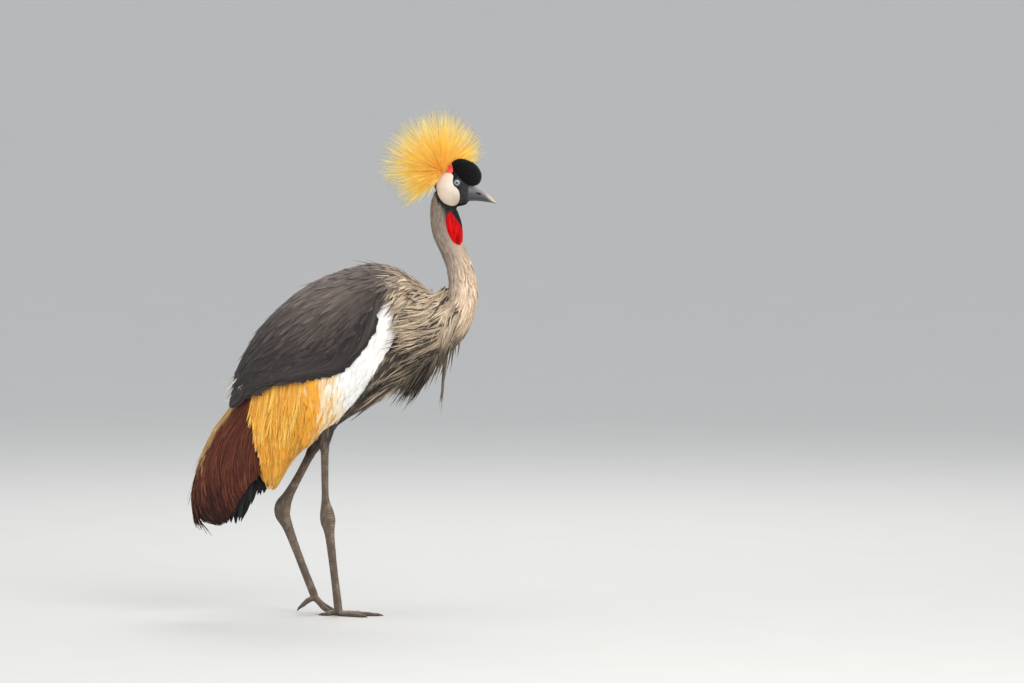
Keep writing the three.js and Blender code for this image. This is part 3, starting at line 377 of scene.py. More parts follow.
BROWN, BROWN_DARK, BROWN_HIGHLIGHT = (0.100, 0.023, 0.011), (0.011, 0.004, 0.003), (0.21, 0.062, 0.027)
BELLY_DARK, BREAST_DARK, BLACK = (0.075, 0.060, 0.046), (0.16, 0.125, 0.095), (0.012, 0.012, 0.013)
LORES_GREY = (0.034, 0.033, 0.036)


def soft_part(x, z):
    """White in front, then cream, then gold, then brown."""
    low = blend(WHITE, CREAM, ease(-x - z * 0.3, -165, -118))
    low = blend(low, GOLD, ease(-x, 18, 50))
    return blend(low, BROWN, ease(-x, 172, 182) * (z > 250))


def markings(points):
    """The colour of the plumage at a place on the bird. Skin and feathers share it."""
    x, y, z = np.asarray(points).T
    edge = np.where(x > 104, 640, np.interp(x, *zip(*GREY_EDGE)))
    above = (z > edge) & (x < 150) & (z < 740)
    grey = blend(WING_GREY, BACK_GREY, ease(z - edge, 60, 170))
    rim = ease(edge + 75 - z, 0, 60) * ease(90 - x, 0, 70) * 0.6
    grey = blend(grey, WING_DARK, np.maximum(ease(-x, 40, 190) * 0.75, rim))
    grey = blend(grey, SHOULDER, ease(x, 60, 150))
    belly = ease(np.interp(x, *zip(*BELLY_EDGE)) - z, -6, 8) * (x > -30)
    ventral = ease(np.abs(y), 60, 42) * (x > -200) * (x < 20)
    low = blend(soft_part(x, z), BELLY_DARK, np.maximum(belly, ventral))
    body = np.where(above[:, None], grey, low)
    body = blend(body, BREAST_DARK, ease(x + 0.35 * z, 340, 400) * (z < 740))
    forward = ease(x - np.interp(z, *zip(*NAPE_LINE)) + 14 * ease(760 - z, 0, 90), -18, 20)
    neck = blend(NECK_GREY, NECK_PALE, forward * ease(820 - z, 0, 90))
    neck = neck * (1 + 0.2 * ease(760 - z, 0, 80))[:, None]
    neck = blend(neck, NECK_DARK, ease(z, 770, 860) * (0.35 + 0.65 * forward))
    body = blend(body, neck, ease(z + 0.3 * (x - 200), 590, 650) * (x > 150))
    throat = ease(x + 0.25 * (z - 800), 214, 226) * ease(z, 776, 796)
    round_cheek = ease(((x - 222) / 28) ** 2 + ((z - 875) / 38) ** 2, 1.1, 0.9) * (z > 815)
    head = np.maximum(round_cheek, ease(z, 876, 888) * (x > 140))
    return blend(body, BLACK, np.maximum(throat, head))


def tint_of(start):
    return start.node("ShaderNodeAttribute", {"attribute_name": "tint"})


def skin_paint(start):
    grain = noise(start, 900.0, 6.0)
    pores = start.node("ShaderNodeTexVoronoi", None, {"Vector": object_place(start), "Scale": 520.0})
    fluff = noise(start, 260.0, 5.0, (1, 1, 0.35))
    height = grain * 0.5 + fluff + pores * 0.4
    return {"colour": tint_of(start).shaded(0.62 + fluff * 0.6), "relief": (height, 0.6, 0.0012),
            "roughness": 0.72 + grain * 0.2}


mantle, neck_form, head_form = Form(MANTLE, "mantle"), Form(NECK, "bent"), Form(HEAD, "upright")
under_neck, under_head = Form(NECK, "bent", COAT_DEPTH), Form(HEAD, "upright", HEAD_COAT_DEPTH)
thigh_forms = {name: Form(rows, "bent", THIGH_COAT_DEPTH) for name, rows in THIGHS.items()}
flesh = [both_sides(mantle, 46, 33, FLESH_END), rings(under_neck, 60, 48), rings(under_head, 40, 48)]
flesh += [rings(form, 20, 32) for form in thigh_forms.values()]
skin_points, skin_faces = fused("skin", flesh, 3.0)
lores = ease(skin_points[:, 0], 228, 246) * (skin_points[:, 2] > 846)
skin_tints = blend(markings(skin_points) * 0.8, LORES_GREY, lores)
piece("skin", skin_points, skin_faces, finish("skin_and_down", skin_paint, 0.8), "skin_plumage",
      ["torso", "neck_upper", "neck_lower", "head", "thigh_right", "thigh_left"], skin_tints)


# The wing coverts and the back: long narrow grey feathers with pointed tips, each held at its root in the
# skin and lying over the next, that run rearwards and down and end in the wing's clean lower edge.
def inside(x, z, outline):
    px, pz = np.array(outline, float).T
    qx, qz = np.roll(px, -1), np.roll(pz, -1)
    x, z = x[..., None], z[..., None]
    crosses = (pz > z) != (qz > z)
    where = px + (z - pz) * (qx - px) / np.where(qz == pz, 1e-9, qz - pz)
    return (np.sum(crosses & (x < where), -1) % 2) == 1


def spaced(places, spacing):
    """The numbers of the places that stand at least this far from those before them."""
    cells, kept = {}, []
    near = [(a, b, c) for a in (-1, 0, 1) for b in (-1, 0, 1) for c in (-1, 0, 1)]
    keys = np.floor(places / spacing).astype(int).tolist()
    for number, ((i, j, k), (x, y, z)) in enumerate(zip(keys, places.tolist())):
        around = (other for a, b, c in near for other in cells.get((i + a, j + b, k + c), ()))
        if not any((p - x) ** 2 + (q - y) ** 2 + (r - z) ** 2 < spacing**2 for p, q, r in around):
            cells.setdefault((i, j, k), []).append((x, y, z))
            kept.append(number)
    return np.array(kept, int)


def roots(form, side, spacing, draw, where, u_range=(0.0, 1.0), v_range=(0.01, 0.99), tries=26000):
    u, v = draw.uniform(*u_range, tries), draw.uniform(*v_range, tries)
    places = form.at(u, v, side)
    fits = where(places)
    kept = spaced(places[fits], spacing)
    return u[fits][kept], v[fits][kept]


def lie_of(table):
    """The way feathers lie, in side view, from a few places: x, z, then the way's x and z."""
    table = np.array(table, float)

    def way(points):
        gap = (points[..., 0, None] - table[:, 0]) ** 2 + (points[..., 2, None] - table[:, 1]) ** 2
        weight = 1 / (gap + 300) ** 1.6
        weight /= weight.sum(-1, keepdims=True)
        flat = weight @ unit(table[:, 2:])
        return np.stack([flat[..., 0], np.zeros(flat.shape[:-1]), flat[..., 1]], -1)

    return way


def combed(form, side, u, v, way, length, steps, turn):
    """Lines over a form from the roots, each as long as its feather, and straight past the form's end."""
    u, v = u.copy(), v.copy()
    place, normal = form.at(u, v, side), form.outward(u, v, side)
    lines, normals = [place], [normal]
    ahead = None
    out = np.zeros(len(u), bool)
    step = length / steps
    for _ in range(steps):
        along, round_ = form.slopes(u, v, side)
        want = way(place)
        want = want + np.cross(normal, want) * turn[..., None]
        a, b, c = (np.sum(p * q, -1) for p, q in ((along, along), (along, round_), (round_, round_)))
        f, g = np.sum(want * along, -1), np.sum(want * round_, -1)
        det = np.maximum(a * c - b * b, 1e-6)
        du, dv = (f * c - g * b) / det, (g * a - f * b) / det
        tangent = along * du[:, None] + round_ * dv[:, None]
        size = np.maximum(np.linalg.norm(tangent, axis=1), 1e-6)
        tangent = tangent / size[:, None]
        ahead = tangent if ahead is None else np.where(out[:, None], ahead, tangent)
        u_next, v_next = u + du * step / size, v + dv * step / size
        out = out | (u_next > 0.995) | (u_next < 0.001)
        if form.kind == "mantle":
            out = out | (v_next < 0.004) | (v_next > 0.996)
        u, v = np.where(out, u, u_next), np.where(out, v, v_next)
        place = np.where(out[:, None], place + ahead * step[:, None], form.at(u, v, side))
        normal = np.where(out[:, None], normal, form.outward(u, v, side))
        lines.append(place)
        normals.append(normal)
    return np.stack(lines, 1), np.stack(normals, 1)


LANCE = lambda s: np.sin(np.pi * np.clip(s * 0.86 + 0.12, 0, 1)) ** 0.8 * (1 - s**7)
STRAND = lambda s: (1 - 0.75 * s) * np.minimum(1, s * 5 + 0.4)
BROAD = lambda s: np.minimum(1, 0.45 + s * 3) * np.sqrt(np.maximum(1 - s**3.2, 0))
TUFT_PATCH = 0.0015


def vanes(lines, normals, width, shape, lift, draw, tint, columns, unwrap, cup=0.25, ragged=0.12,
          root_shade=0.6, tip_shade=1.12, edge_shade=1.0, tone=0.16, fray=0.0):
    """Feathers as thin curved vanes along lines. Gives a batch: points, faces, tints and maps."""
    total, count = lines.shape[:2]
    s, c = np.linspace(0, 1, count), np.linspace(-1, 1, columns)
    ahead = unit(np.gradient(lines, axis=1))
    beside = unit(np.cross(normals, ahead))
    up = unit(np.cross(ahead, beside))
    half = (np.asarray(width)[:, None] / 2 * shape(s)[None, :])[..., None]
    half = half * (1 + ragged * draw.standard_normal((total, count, columns)) * np.abs(c) ** 2)
    notch = draw.random((total, count, columns)) < fray * s[None, :, None]
    half = np.where(notch, half * 0.55, half)
    height = np.asarray(lift)[..., None] - cup * np.abs(c) ** 2 * half
    points = lines[:, :, None] + beside[:, :, None] * (half * c)[..., None]
    points = points + up[:, :, None] * height[..., None]
    shade = root_shade + (1 - root_shade) * ease(s, 0.05, 0.45) + (tip_shade - 1) * ease(s, 0.55, 1)
    shade = shade[None, :, None] * (1 + (edge_shade - 1) * np.abs(c) ** 2)
    shade = shade * (1 + tone * draw.standard_normal((total, 1, 1)))
    colours = tint[:, None, None, :] if np.ndim(tint) == 2 else tint[:, :, None, :]
    colours = np.clip(colours * shade[..., None], 0, 1) * np.ones((1, 1, columns, 1))
    k, j = np.meshgrid(np.arange(count - 1), np.arange(columns - 1), indexing="ij")
    first = (k * columns + j).ravel()
    quad = np.stack([first, first + 1, first + columns + 1, first + columns], -1)
    faces = (quad[None] + (np.arange(total) * count * columns)[:, None, None]).reshape(-1, 4)
    across = np.broadcast_to(c, (total, count, columns))
    along = np.broadcast_to(s[None, :, None], (total, count, columns))
    length = np.linalg.norm(np.diff(lines, axis=1), axis=2).sum(1)
    vane_map = np.stack([across * np.asarray(width)[:, None, None] / 2, along * length[:, None, None]], -1)
    corner = np.asarray(unwrap)[:, None, None, :] + np.stack([across, along * 2 - 1], -1) * TUFT_PATCH
    listed = lambda values: values.reshape(-1, values.shape[-1])
    return listed(points), faces, listed(colours), listed(vane_map), listed(corner)


def plumage(name, batches, look, slot, replaced=()):
    base, parts = 0, []
    for points, faces, *rest in batches:
        parts.append((points, faces + base, *rest))
        base += len(points)
    points, faces, tints, vane_map, corner = (np.vstack([part[i] for part in parts]) for i in range(5))
    maps = {"OFBake": corner, "vane": vane_map}
    return piece(name, points, faces.tolist(), look, slot, replaced, tints, None, maps)


def feather_paint(barb, contrast, gloss, shaft):
    def paint(start):
        across, along, _ = start.node("ShaderNodeUVMap", {"uv_map": "vane"}).parts()
        off = across.math("ABSOLUTE")
        slant = along - off * 1.3
        barbs = (slant * (2 * math.pi / barb)).math("SINE") * 0.5 + 0.5
        streak_place = start.node("ShaderNodeCombineXYZ", None, {0: across * 1.5, 1: slant * 0.9})
        inputs = {"Vector": streak_place, "Scale": 1.0, "Detail": 4.0}
        streaks = start.node("ShaderNodeTexNoise", None, inputs)
        stem = off.between(0.28, 0.1)
        amount = (1 - contrast) + streaks * contrast * 1.4 + barbs * contrast * 0.25
        amount = amount + (noise(start, 55.0, 3.0) - 0.5) * 0.3
        return {"colour": tint_of(start).shaded(amount * (1 - stem * (1 - shaft))),
                "relief": (barbs * 0.6 + streaks + stem, 0.5, 0.0006), "roughness": gloss + streaks * 0.25}
    return paint


def wrap(form, u, v, side):
    """The root's place on the unwrapped form: both halves of the body lie side by side."""
    if form.kind == "mantle":
        return np.stack([0.02 + 0.96 * u, 0.98 - 0.47 * v if side > 0 else 0.02 + 0.47 * v], -1)
    return np.stack([0.02 + 0.96 * u, 0.02 + 0.96 * (v % 1.0)], -1)


SIDES = (("left", 1), ("right", -1))
GREY_OUTLINE = [*GREY_EDGE, (150, 700), (170, 900), (-330, 900), (-300, 620), (-216, 492)]
GREY_LIE = lie_of([
    (150, 690, -0.85, -0.5), (100, 700, -0.85, -0.5), (60, 722, -1, -0.12), (0, 707, -1, -0.3),
    (-61, 681, -0.9, -0.45), (-119, 638, -0.8, -0.6), (-168, 584, -0.65, -0.76), (-205, 521, -0.55, -0.83),
    (95, 650, -0.6, -0.8), (60, 600, -0.62, -0.78), (30, 640, -0.7, -0.7), (0, 590, -0.7, -0.7),
    (20, 535, -0.75, -0.66), (-20, 520, -0.95, -0.3), (-60, 580, -0.72, -0.7), (-72, 505, -0.97, -0.22),
    (-120, 540, -0.85, -0.5), (-140, 490, -0.93, -0.34), (-180, 480, -0.8, -0.6), (-215, 450, -0.66, -0.75),
])
EVEN = ((0, 1), (1, 1))
LAID_UNDER, LEVEL_UNKNOWN = 5.0, 12
grey_look = finish("grey_feathers", feather_paint(1.2, 0.5, 0.5, 1.3), 0.6, specular_ior_level=0.3)
u, v = (part.ravel() for part in np.meshgrid(np.linspace(0, 1, 90), np.linspace(0, 1, 60), indexing="ij"))
grid = np.arange(90 * 60).reshape(90, 60)
quads = np.stack([grid[:-1, :-1], grid[:-1, 1:], grid[1:, 1:], grid[1:, :-1]], -1).reshape(-1, 4).tolist()
sheets = [(mantle.at(u, v, side) - mantle.outward(u, np.clip(v, 0.01, 0.99), side) * LAID_UNDER, quads)
          for _, side in SIDES]
tree_points, tree_faces = joined([rings(under_neck, 60, 48), *sheets])
body_tree = BVHTree.FromPolygons(tree_points.tolist(), tree_faces)


def laid(side, flat, depth):
    """Lines drawn in side view, laid on the body's side at a depth over its down, and their normals."""
    places = np.arange(flat.shape[1])
    level = np.full(flat.shape[:2], np.nan)
    normals = np.zeros((*flat.shape[:2], 3))
    normals[..., 1] = side
    for i, line in enumerate(flat.tolist()):
        for k, (x, z) in enumerate(line):
            hit, normal, _, _ = body_tree.ray_cast(Vector((x, side * 300, z)), Vector((0, -side, 0)), 298)
            if hit:
                level[i, k] = side * hit[1]
                normals[i, k] = normal if normal.y * side > 0 else -normal
        known = ~np.isnan(level[i])
        level[i] = np.interp(places, places[known], level[i][known]) if known.any() else LEVEL_UNKNOWN
    level = np.maximum(level, 4)
    level[:, 1:-1] = (level[:, :-2] + level[:, 1:-1] + level[:, 2:]) / 3
    lines = np.stack([flat[..., 0], side * (level + depth), flat[..., 1]], -1)
    return lines, unit(normals + np.array([0, side * 0.5, 0]))


def edge_row(side, draw, total, inset, length, width, depth, first):
    """Long coverts laid along the wing's lower edge, tip after tip, from a place on that edge rearwards."""
    path = through(GREY_EDGE[::-1], 440)
    ahead = unit(np.gradient(path, axis=0))
    s = np.linspace(0, 1, 10)
    length = draw.uniform(*length, total)
    begin = first + (np.arange(total) + draw.uniform(0, 0.8, total)) / total * (434 - first - length)
    spot = begin[:, None] + length[:, None] * s[None, :]
    past = np.maximum(spot - 439, 0)[..., None]
    spot = np.clip(spot, 0, 439).astype(int)
    up = np.stack([ahead[:, 1], -ahead[:, 0]], -1)[spot]
    widths = draw.uniform(*width, total)
    off = draw.uniform(*inset, (total, 1)) * (1 - s[None, :]) ** 1.4 + widths[:, None] * 0.45
    off = off + draw.uniform(0, 3, (total, 1))
    lines, normals = laid(side, path[spot] + ahead[-1] * past + up * off[..., None], depth + 1.2 * s[None, :])
    tint = markings(lines[:, 5] + np.array([0, 0, 8])) * draw.uniform(0.75, 1.25, (total, 1))
    place = np.stack([np.linspace(0.1, 0.9, total), np.full(total, 0.5 + 0.3 * side)], -1)
    return vanes(lines, normals, widths, LANCE, np.zeros((total, 10)), draw, tint, 5, place, tip_shade=1.25,
                 tone=0.1, fray=0.06, cup=0.15, ragged=0.06)


def grown(side, draw, where, spacing, length, spread, way, keep, shortest, probe, steps, u_range, v_range,
          longer=EVEN):
    """Feathers' lines over the body, cut where keep ends. Those left too short are dropped."""
    u, v = roots(mantle, side, spacing, draw, where, u_range, v_range)
    length = draw.uniform(*length, len(u)) * np.interp(u, *longer)
    turn = draw.normal(0, spread, len(u))
    lines, _ = combed(mantle, side, u, v, way, length, probe, turn)
    good = keep(lines[..., 0], lines[..., 2], draw)
    reach = np.where(good.all(1), probe, np.argmin(good, 1)) / probe
    kept = reach >= shortest
    u, v, length, turn = u[kept], v[kept], (length * reach)[kept], turn[kept]
    return (u, v, *combed(mantle, side, u, v, way, length, steps, turn))


def coat(side, draw, spacing, length, width, level, rise, shape, columns, steps, outline, way, keep, colour,
         u_range=(0.05, 0.8), v_range=(0.1, 0.97), spread=0.08, shortest=0.35, probe=20, loose=0.5, wave=0.0,
         longer=EVEN, wider=EVEN, **more):
    """One layer of feathers rooted inside an outline, from a level over the skin up to their risen tips."""
    where = lambda p: inside(p[:, 0], p[:, 2], outline)
    u, v, lines, normals = grown(side, draw, where, spacing, length, spread, way, keep, shortest, probe,
                                 steps, u_range, v_range, longer)
    s = np.linspace(0, 1, steps + 1)[None, :]
    each = (len(u), 1)
    lift = level + rise * s + draw.normal(0, loose, each) * s
    if wave:
        beside = unit(np.cross(normals, np.gradient(lines, axis=1)))
        swing = np.sin(s * draw.uniform(2, 6, each) + draw.uniform(0, 6, each)) * s * wave
        lines = lines + beside * swing[..., None] * draw.normal(0, 1, (*each, 1))
    tint = colour(lines[:, steps // 2], draw)
    widths = draw.uniform(*width, len(u)) * np.interp(u, *wider)
    return vanes(lines, normals, widths, shape, lift, draw, tint, columns, wrap(mantle, u, v, side), **more)


def grey_colour(p, draw):
    return markings(p) * np.where(draw.random(len(p)) < 0.25, 1.35, 1.0)[:, None]


grey_area = {
    "outline": GREY_OUTLINE, "way": GREY_LIE, "keep": lambda x, z, draw: inside(x, z, GREY_OUTLINE),
    "colour": grey_colour, "u_range": (0.02, 0.75), "v_range": (0.004, 0.7), "spread": 0.09, "shortest": 0.3,
    "probe": 24, "loose": 0.35, "longer": ((0.05, 0.2, 0.5, 0.7), (0.5, 0.75, 1.0, 1.1)),
    "wider": ((0.05, 0.25, 0.6), (0.7, 0.9, 1.1)),
}
for name, side in SIDES:
    draw = np.random.default_rng(41 + side)
    grey = [
        coat(side, draw, 13, (55, 80), (24, 30), -3.4, 2.0, BROAD, 3, 5, tone=0.08, cup=0.1, **grey_area),
        coat(side, draw, 8.2, (60, 96), (9, 13), -2.6, 3.6, LANCE, 5, 8, root_shade=0.55, edge_shade=0.8,
             tip_shade=1.25, fray=0.12, **grey_area),
        edge_row(side, draw, 26, (30, 60), (90, 140), (9, 13), 4.8, 140),
        edge_row(side, draw, 30, (8, 32), (90, 150), (9, 13), 5.4, 90),
        edge_row(side, draw, 34, (0, 7), (70, 120), (9, 12), 5.9, 0),
    ]
    s = np.linspace(0, 1, 6)[None, :, None]
    first = np.stack([draw.uniform(-212, -198, 12), draw.uniform(464, 494, 12)], -1)[:, None]
    flat = first + (np.array([-25.0, -26.0]) + draw.normal(0, 4, (12, 1, 2))) * s
    lines, normals = laid(side, flat, 8.0)
    pale, place = np.tile((0.66, 0.63, 0.59), (12, 1)), np.tile((0.92, 0.5 + 0.4 * side), (12, 1))
    grey.append(vanes(lines, normals, np.full(12, 3.6), STRAND, np.zeros((12, 6)), draw, pale, 3, place))
    plumage(f"coverts_{name}", grey, grey_look, "grey_feather", [f"wing_{name}_coverts"])


# The white part of the folded wing: soft broad coverts, clean white in front and cream towards the gold, that
# come out from under the grey edge and hang over the flank.
WHITE_ROOTS = [
    (-62, 530), (-60, 368), (-36, 372), (-4, 404), (28, 440), (58, 486), (80, 526), (100, 572), (120, 620),
    (127, 642), (96, 650), (40, 580),
]
FLANK_LIE = lie_of([
    (125, 640, -0.6, -0.8), (110, 590, -0.5, -0.87), (80, 540, -0.5, -0.87), (60, 500, -0.45, -0.9),
    (20, 480, -0.35, -0.94), (-20, 450, -0.12, -1), (-60, 450, -0.02, -1), (-60, 350, 0.08, -1),
    (-120, 440, -0.1, -1), (-120, 330, 0.12, -1), (-160, 420, -0.2, -0.98), (-165, 330, 0.02, -1),
    (-130, 270, 0.25, -0.97),
])
SOFT_EDGE = [(-95, 294), (-79, 326), (-39, 355), *BELLY_EDGE]
white_look = finish("white_feathers", feather_paint(1.0, 0.14, 0.6, 0.95), 0.65, specular_ior_level=0.25)
soft_floor = lambda x: np.interp(x, *zip(*SOFT_EDGE))


def soft_coats(name, seed, area, layers, look, slot, node):
    """The layers of one soft part of the wing, on both sides of the bird."""
    for word, side in SIDES:
        draw = np.random.default_rng(seed + side)
        batches = [coat(side, draw, *layer, **more, **area) for layer, more in layers]
        plumage(f"{name}_{word}", batches, look, slot, [f"wing_{word}_{node}"])


white_area = {
    "outline": WHITE_ROOTS, "way": FLANK_LIE,
    "keep": lambda x, z, draw: z > soft_floor(x) + draw.uniform(-3, 4, (len(x), 1)),
    "colour": lambda p, draw: soft_part(p[:, 0] + draw.normal(0, 14, len(p)), p[:, 2]),
}
soft_coats("white_coverts", 63, white_area, [
    ((11, (45, 70), (24, 30), -11.0, 1.5, BROAD, 3, 5), {"tone": 0.02, "root_shade": 0.9, "tip_shade": 1.0}),
    ((6.4, (40, 80), (7, 11), -9.8, 2.6, LANCE, 5, 7),
     {"spread": 0.1, "tone": 0.04, "root_shade": 0.85, "tip_shade": 1.03, "fray": 0.1}),
], white_look, "white_feather", "white")


# The golden part: loose hair-like plumes from the inner coverts, straw to deep orange, that hang straight
# down over the side of the tail and part into strands.
GOLD_ROOTS = [
    (-180, 500), (-182, 420), (-174, 352), (-162, 300), (-110, 292), (-80, 336), (-44, 368), (-26, 400),
    (-24, 530),
]
GOLD_EDGE = [
    (-184, 400), (-176, 356), (-164, 326), (-158, 292), (-148, 262), (-123, 258), (-103, 272), (-95, 292),
    (-79, 325), (-39, 355), (-22, 367),
]
gold_look = finish("gold_plumes", feather_paint(1.4, 0.42, 0.45, 0.9), 0.5, specular_ior_level=0.4)


def gold_keep(x, z, draw):
    return z > np.interp(x, *zip(*GOLD_EDGE)) - 8 + 34 * draw.random((len(x), 1)) ** 2


def gold_colour(p, draw):
    base = soft_part(np.maximum(p[:, 0] + draw.normal(0, 11, len(p)), -170), p[:, 2])
    deep = draw.random(len(p))
    base = blend(base, GOLD_DEEP, ease(deep, 0.55, 0.9) * 0.85 * ease(-p[:, 0], 50, 100))
    base = blend(base, GOLD_LIGHT, ease(deep, 0.4, 0.0) * 0.8)
    return blend(base, (0.62, 0.40, 0.08), ease(330 - p[:, 2], 0, 60) * 0.5)


gold_area = {"outline": GOLD_ROOTS, "way": FLANK_LIE, "keep": gold_keep, "colour": gold_colour,
             "u_range": (0.3, 0.9)}
soft_coats("gold_plumes", 85, gold_area, [
    ((10, (55, 85), (18, 24), -15.5, 1.5, BROAD, 3, 5), {"tone": 0.08, "root_shade": 0.8}),
    ((4.6, (60, 150), (3.2, 5.6), -14.5, 3.6, STRAND, 3, 9),
     {"spread": 0.09, "tone": 0.14, "wave": 1.6, "root_shade": 0.75, "tip_shade": 1.2, "cup": 0.4}),
], gold_look, "gold_feather", "gold")


# The bustle: the long inner secondaries and their loose tips, glossy chocolate brown, which droop over the
# tail in an arch and curl in at the bottom.
BROWN_ROOTS = [
    (-170, 500), (-170, 352), (-166, 312), (-204, 274), (-236, 222), (-292, 222), (-316, 262), (-312, 330),
    (-262, 430), (-222, 500),
]
BROWN_OUTLINE = [
    (-160, 500), (-222, 500), (-236, 440), (-248, 432), (-268, 405), (-287, 374), (-299, 343), (-313, 312),
    (-322, 281), (-326, 238), (-320, 205), (-312, 189), (-290, 175), (-256, 173), (-236, 186), (-212, 222),
    (-199, 252), (-180, 274), (-156, 298), (-152, 350),
]
BROWN_LIE = lie_of([
    (-190, 440, -0.45, -0.9), (-230, 430, -0.7, -0.7), (-250, 400, -0.62, -0.78), (-280, 370, -0.5, -0.87),
    (-300, 300, -0.15, -1), (-312, 240, 0.18, -1), (-220, 350, -0.25, -0.97), (-200, 300, 0.1, -1),
    (-240, 280, 0.12, -1), (-285, 230, 0.35, -0.93), (-262, 200, 0.6, -0.8), (-230, 230, 0.3, -0.95),
])
BUSTLE_RIM_LIGHT = [(180, 316), (300, 305), (380, 275), (430, 240), (470, 212)]
brown_look = finish("brown_plumes", feather_paint(1.4, 0.75, 0.45, 1.2), 0.5, specular_ior_level=0.25)


def brown_keep(x, z, draw):
    return inside(x + draw.uniform(-3, 3, (len(x), 1)), z + draw.uniform(-4, 4, (len(x), 1)), BROWN_OUTLINE)


def brown_colour(p, draw):
    base = blend(BROWN, BROWN_DARK, ease(345 - p[:, 2], 0, 130) * 0.9)
    lit = draw.random(len(p))
    # A random share of the plumes carry a painted highlight. The bustle is also darker towards the bottom.
    base = blend(base, BROWN_HIGHLIGHT, ease(lit, 0.7, 1.0) * 0.8 * ease(p[:, 2], 190, 290))
    # Painted rim light: a pale band along the upper rear outline of the bustle.
    rim = ease(-p[:, 0] - np.interp(p[:, 2], *zip(*BUSTLE_RIM_LIGHT)), -13, -3) * ease(p[:, 2], 335, 375)
    return blend(base, (0.66, 0.43, 0.17), rim * (0.5 + 0.5 * lit))


brown_area = {"outline": BROWN_ROOTS, "way": BROWN_LIE, "keep": brown_keep, "colour": brown_colour,
              "u_range": (0.45, 0.97), "v_range": (0.02, 0.98)}
soft_coats("brown_plumes", 107, brown_area, [
    ((10, (55, 85), (18, 24), -16.5, 1.5, BROAD, 3, 5), {"tone": 0.08}),
    ((4.8, (70, 150), (3.4, 6.4), -15.5, 3.8, STRAND, 3, 9),
     {"spread": 0.07, "tone": 0.2, "wave": 1.4, "root_shade": 0.6, "tip_shade": 1.15, "cup": 0.45}),
], brown_look, "maroon_feather", "secondaries")


# Flight feathers and tail: stiff black vanes under the bustle, each straight from its root to its tip. The
# primaries' tips stand below the gold, and the tail's below the brown.
PRIMARY_TIPS = [
    (-156, 250), (-168, 244), (-180, 240), (-194, 206), (-206, 192), (-218, 196), (-184, 226), (-164, 262),
]
TAIL_TIPS = [(-206, 194), (-226, 186), (-216, 182), (-234, 190)]
black_look = finish("black_feathers", feather_paint(1.6, 0.5, 0.6, 1.4), 0.6, specular_ior_level=0.2)


def stiff_vanes(side, draw, tips, shift, drop, root, out, width):
    """A double row of stiff vanes. root and out give the places and levels of the first and the last."""
    tips = [(x + draw.uniform(-shift, shift), z + draw.uniform(0, drop)) for x, z in tips * 2]
    first, last = np.array(root, float)
    total = len(tips)
    s = np.linspace(0, 1, 9)[:, None]
    lines, normals = [], []
    for i, (x, z) in enumerate(tips):
        share = i / (total - 1)
        start_x, start_z = first + (last - first) * share
        level = out[0] + (out[1] - out[0]) * share
        start = np.array([start_x, side * level, start_z])
        end = np.array([x, side * (level + draw.uniform(-2, 2)), z])
        lines.append(start + (end - start) * s + np.array([-6, side * 3, 0]) * np.sin(np.pi * s))
        normals.append(np.broadcast_to(unit(np.array([-0.15, side, 0.1 * (i % 3 - 1)])), (9, 3)))
    tint = np.tile(BLACK, (total, 1)) * draw.uniform(0.7, 1.5, (total, 1))
    place = np.stack([np.linspace(0.1, 0.9, total), np.full(total, 0.5 + 0.2 * side)], -1)
    lift = np.zeros((total, 9)) + np.arange(total)[:, None] % 3 * 1.1
    return vanes(np.array(lines), np.array(normals), np.full(total, width), BROAD, lift, draw, tint, 7, place,
                 fray=0.06, cup=0.12)


for name, side in SIDES:
    draw = np.random.default_rng(131 + side)
    primaries = stiff_vanes(side, draw, PRIMARY_TIPS, 5, 10, [(-112, 352), (-178, 362)], (20, 30), 15)
    plumage(f"primaries_{name}", [primaries], black_look, "black_feather", [f"wing_{name}_primaries"])
tail = [stiff_vanes(side, np.random.default_rng(151 + side), TAIL_TIPS, 4, 8, [(-182, 372), (-196, 366)],
                    (3, 18), 17) for _, side in SIDES]
plumage("tail_feathers", tail, black_look, "black_feather", ["tail"])


# Belly and flank: dark grey-brown feathers, softer than the coverts, rooted in the skin under the wing. They
# run rearwards along the belly to the thighs.
BELLY_LIE = lie_of([
    (200, 560, -0.75, -0.65), (150, 510, -0.72, -0.69), (100, 480, -0.6, -0.8), (60, 440, -0.62, -0.78),
    (0, 390, -0.7, -0.71), (-45, 351, -0.7, -0.7), (-88, 310, -0.6, -0.8),
])
belly_look = finish("belly_feathers", feather_paint(1.3, 0.5, 0.6, 1.2), 0.65, specular_ior_level=0.25)
under_wing = lambda p: (p[:, 2] < soft_floor(p[:, 0]) - 1) & (p[:, 0] < 215) & (p[:, 0] > -26)
belly_keep = lambda x, z, draw: z < soft_floor(x) + 1 + 40 * (x > 118)
for name, side in SIDES:
    draw = np.random.default_rng(171 + side)
    u, v, lines, normals = grown(side, draw, under_wing, 5.6, (28, 54), 0.08, BELLY_LIE, belly_keep, 0.3, 14,
                                 7, (0.0, 0.62), (0.62, 0.996))
    lift = np.interp(u, (0.0, 0.1, 0.25), (-4.0, -7.0, -11.0))[:, None] + 4.0 * np.linspace(0, 1, 8)[None, :]
    widths = draw.uniform(7, 10, len(u))
    tint = blend((0.055, 0.045, 0.036), (0.26, 0.21, 0.16), (draw.random(len(u)) < 0.3) * 0.8)
    belly = vanes(lines, normals, widths, LANCE, lift, draw, tint, 5, wrap(mantle, u, v, side), fray=0.15,
                  root_shade=0.5, tip_shade=1.3)
    plumage(f"belly_feathers_{name}", [belly], belly_look, "grey_feather")


# Thigh feathers: short, soft and dark, set in the skin all round the thigh. They hang down to just above the
# bare shank.
def one_way(x, z):
    """Feathers that all lie one way."""
    return lambda points: np.broadcast_to(np.array([x, 0.0, z]), points.shape)


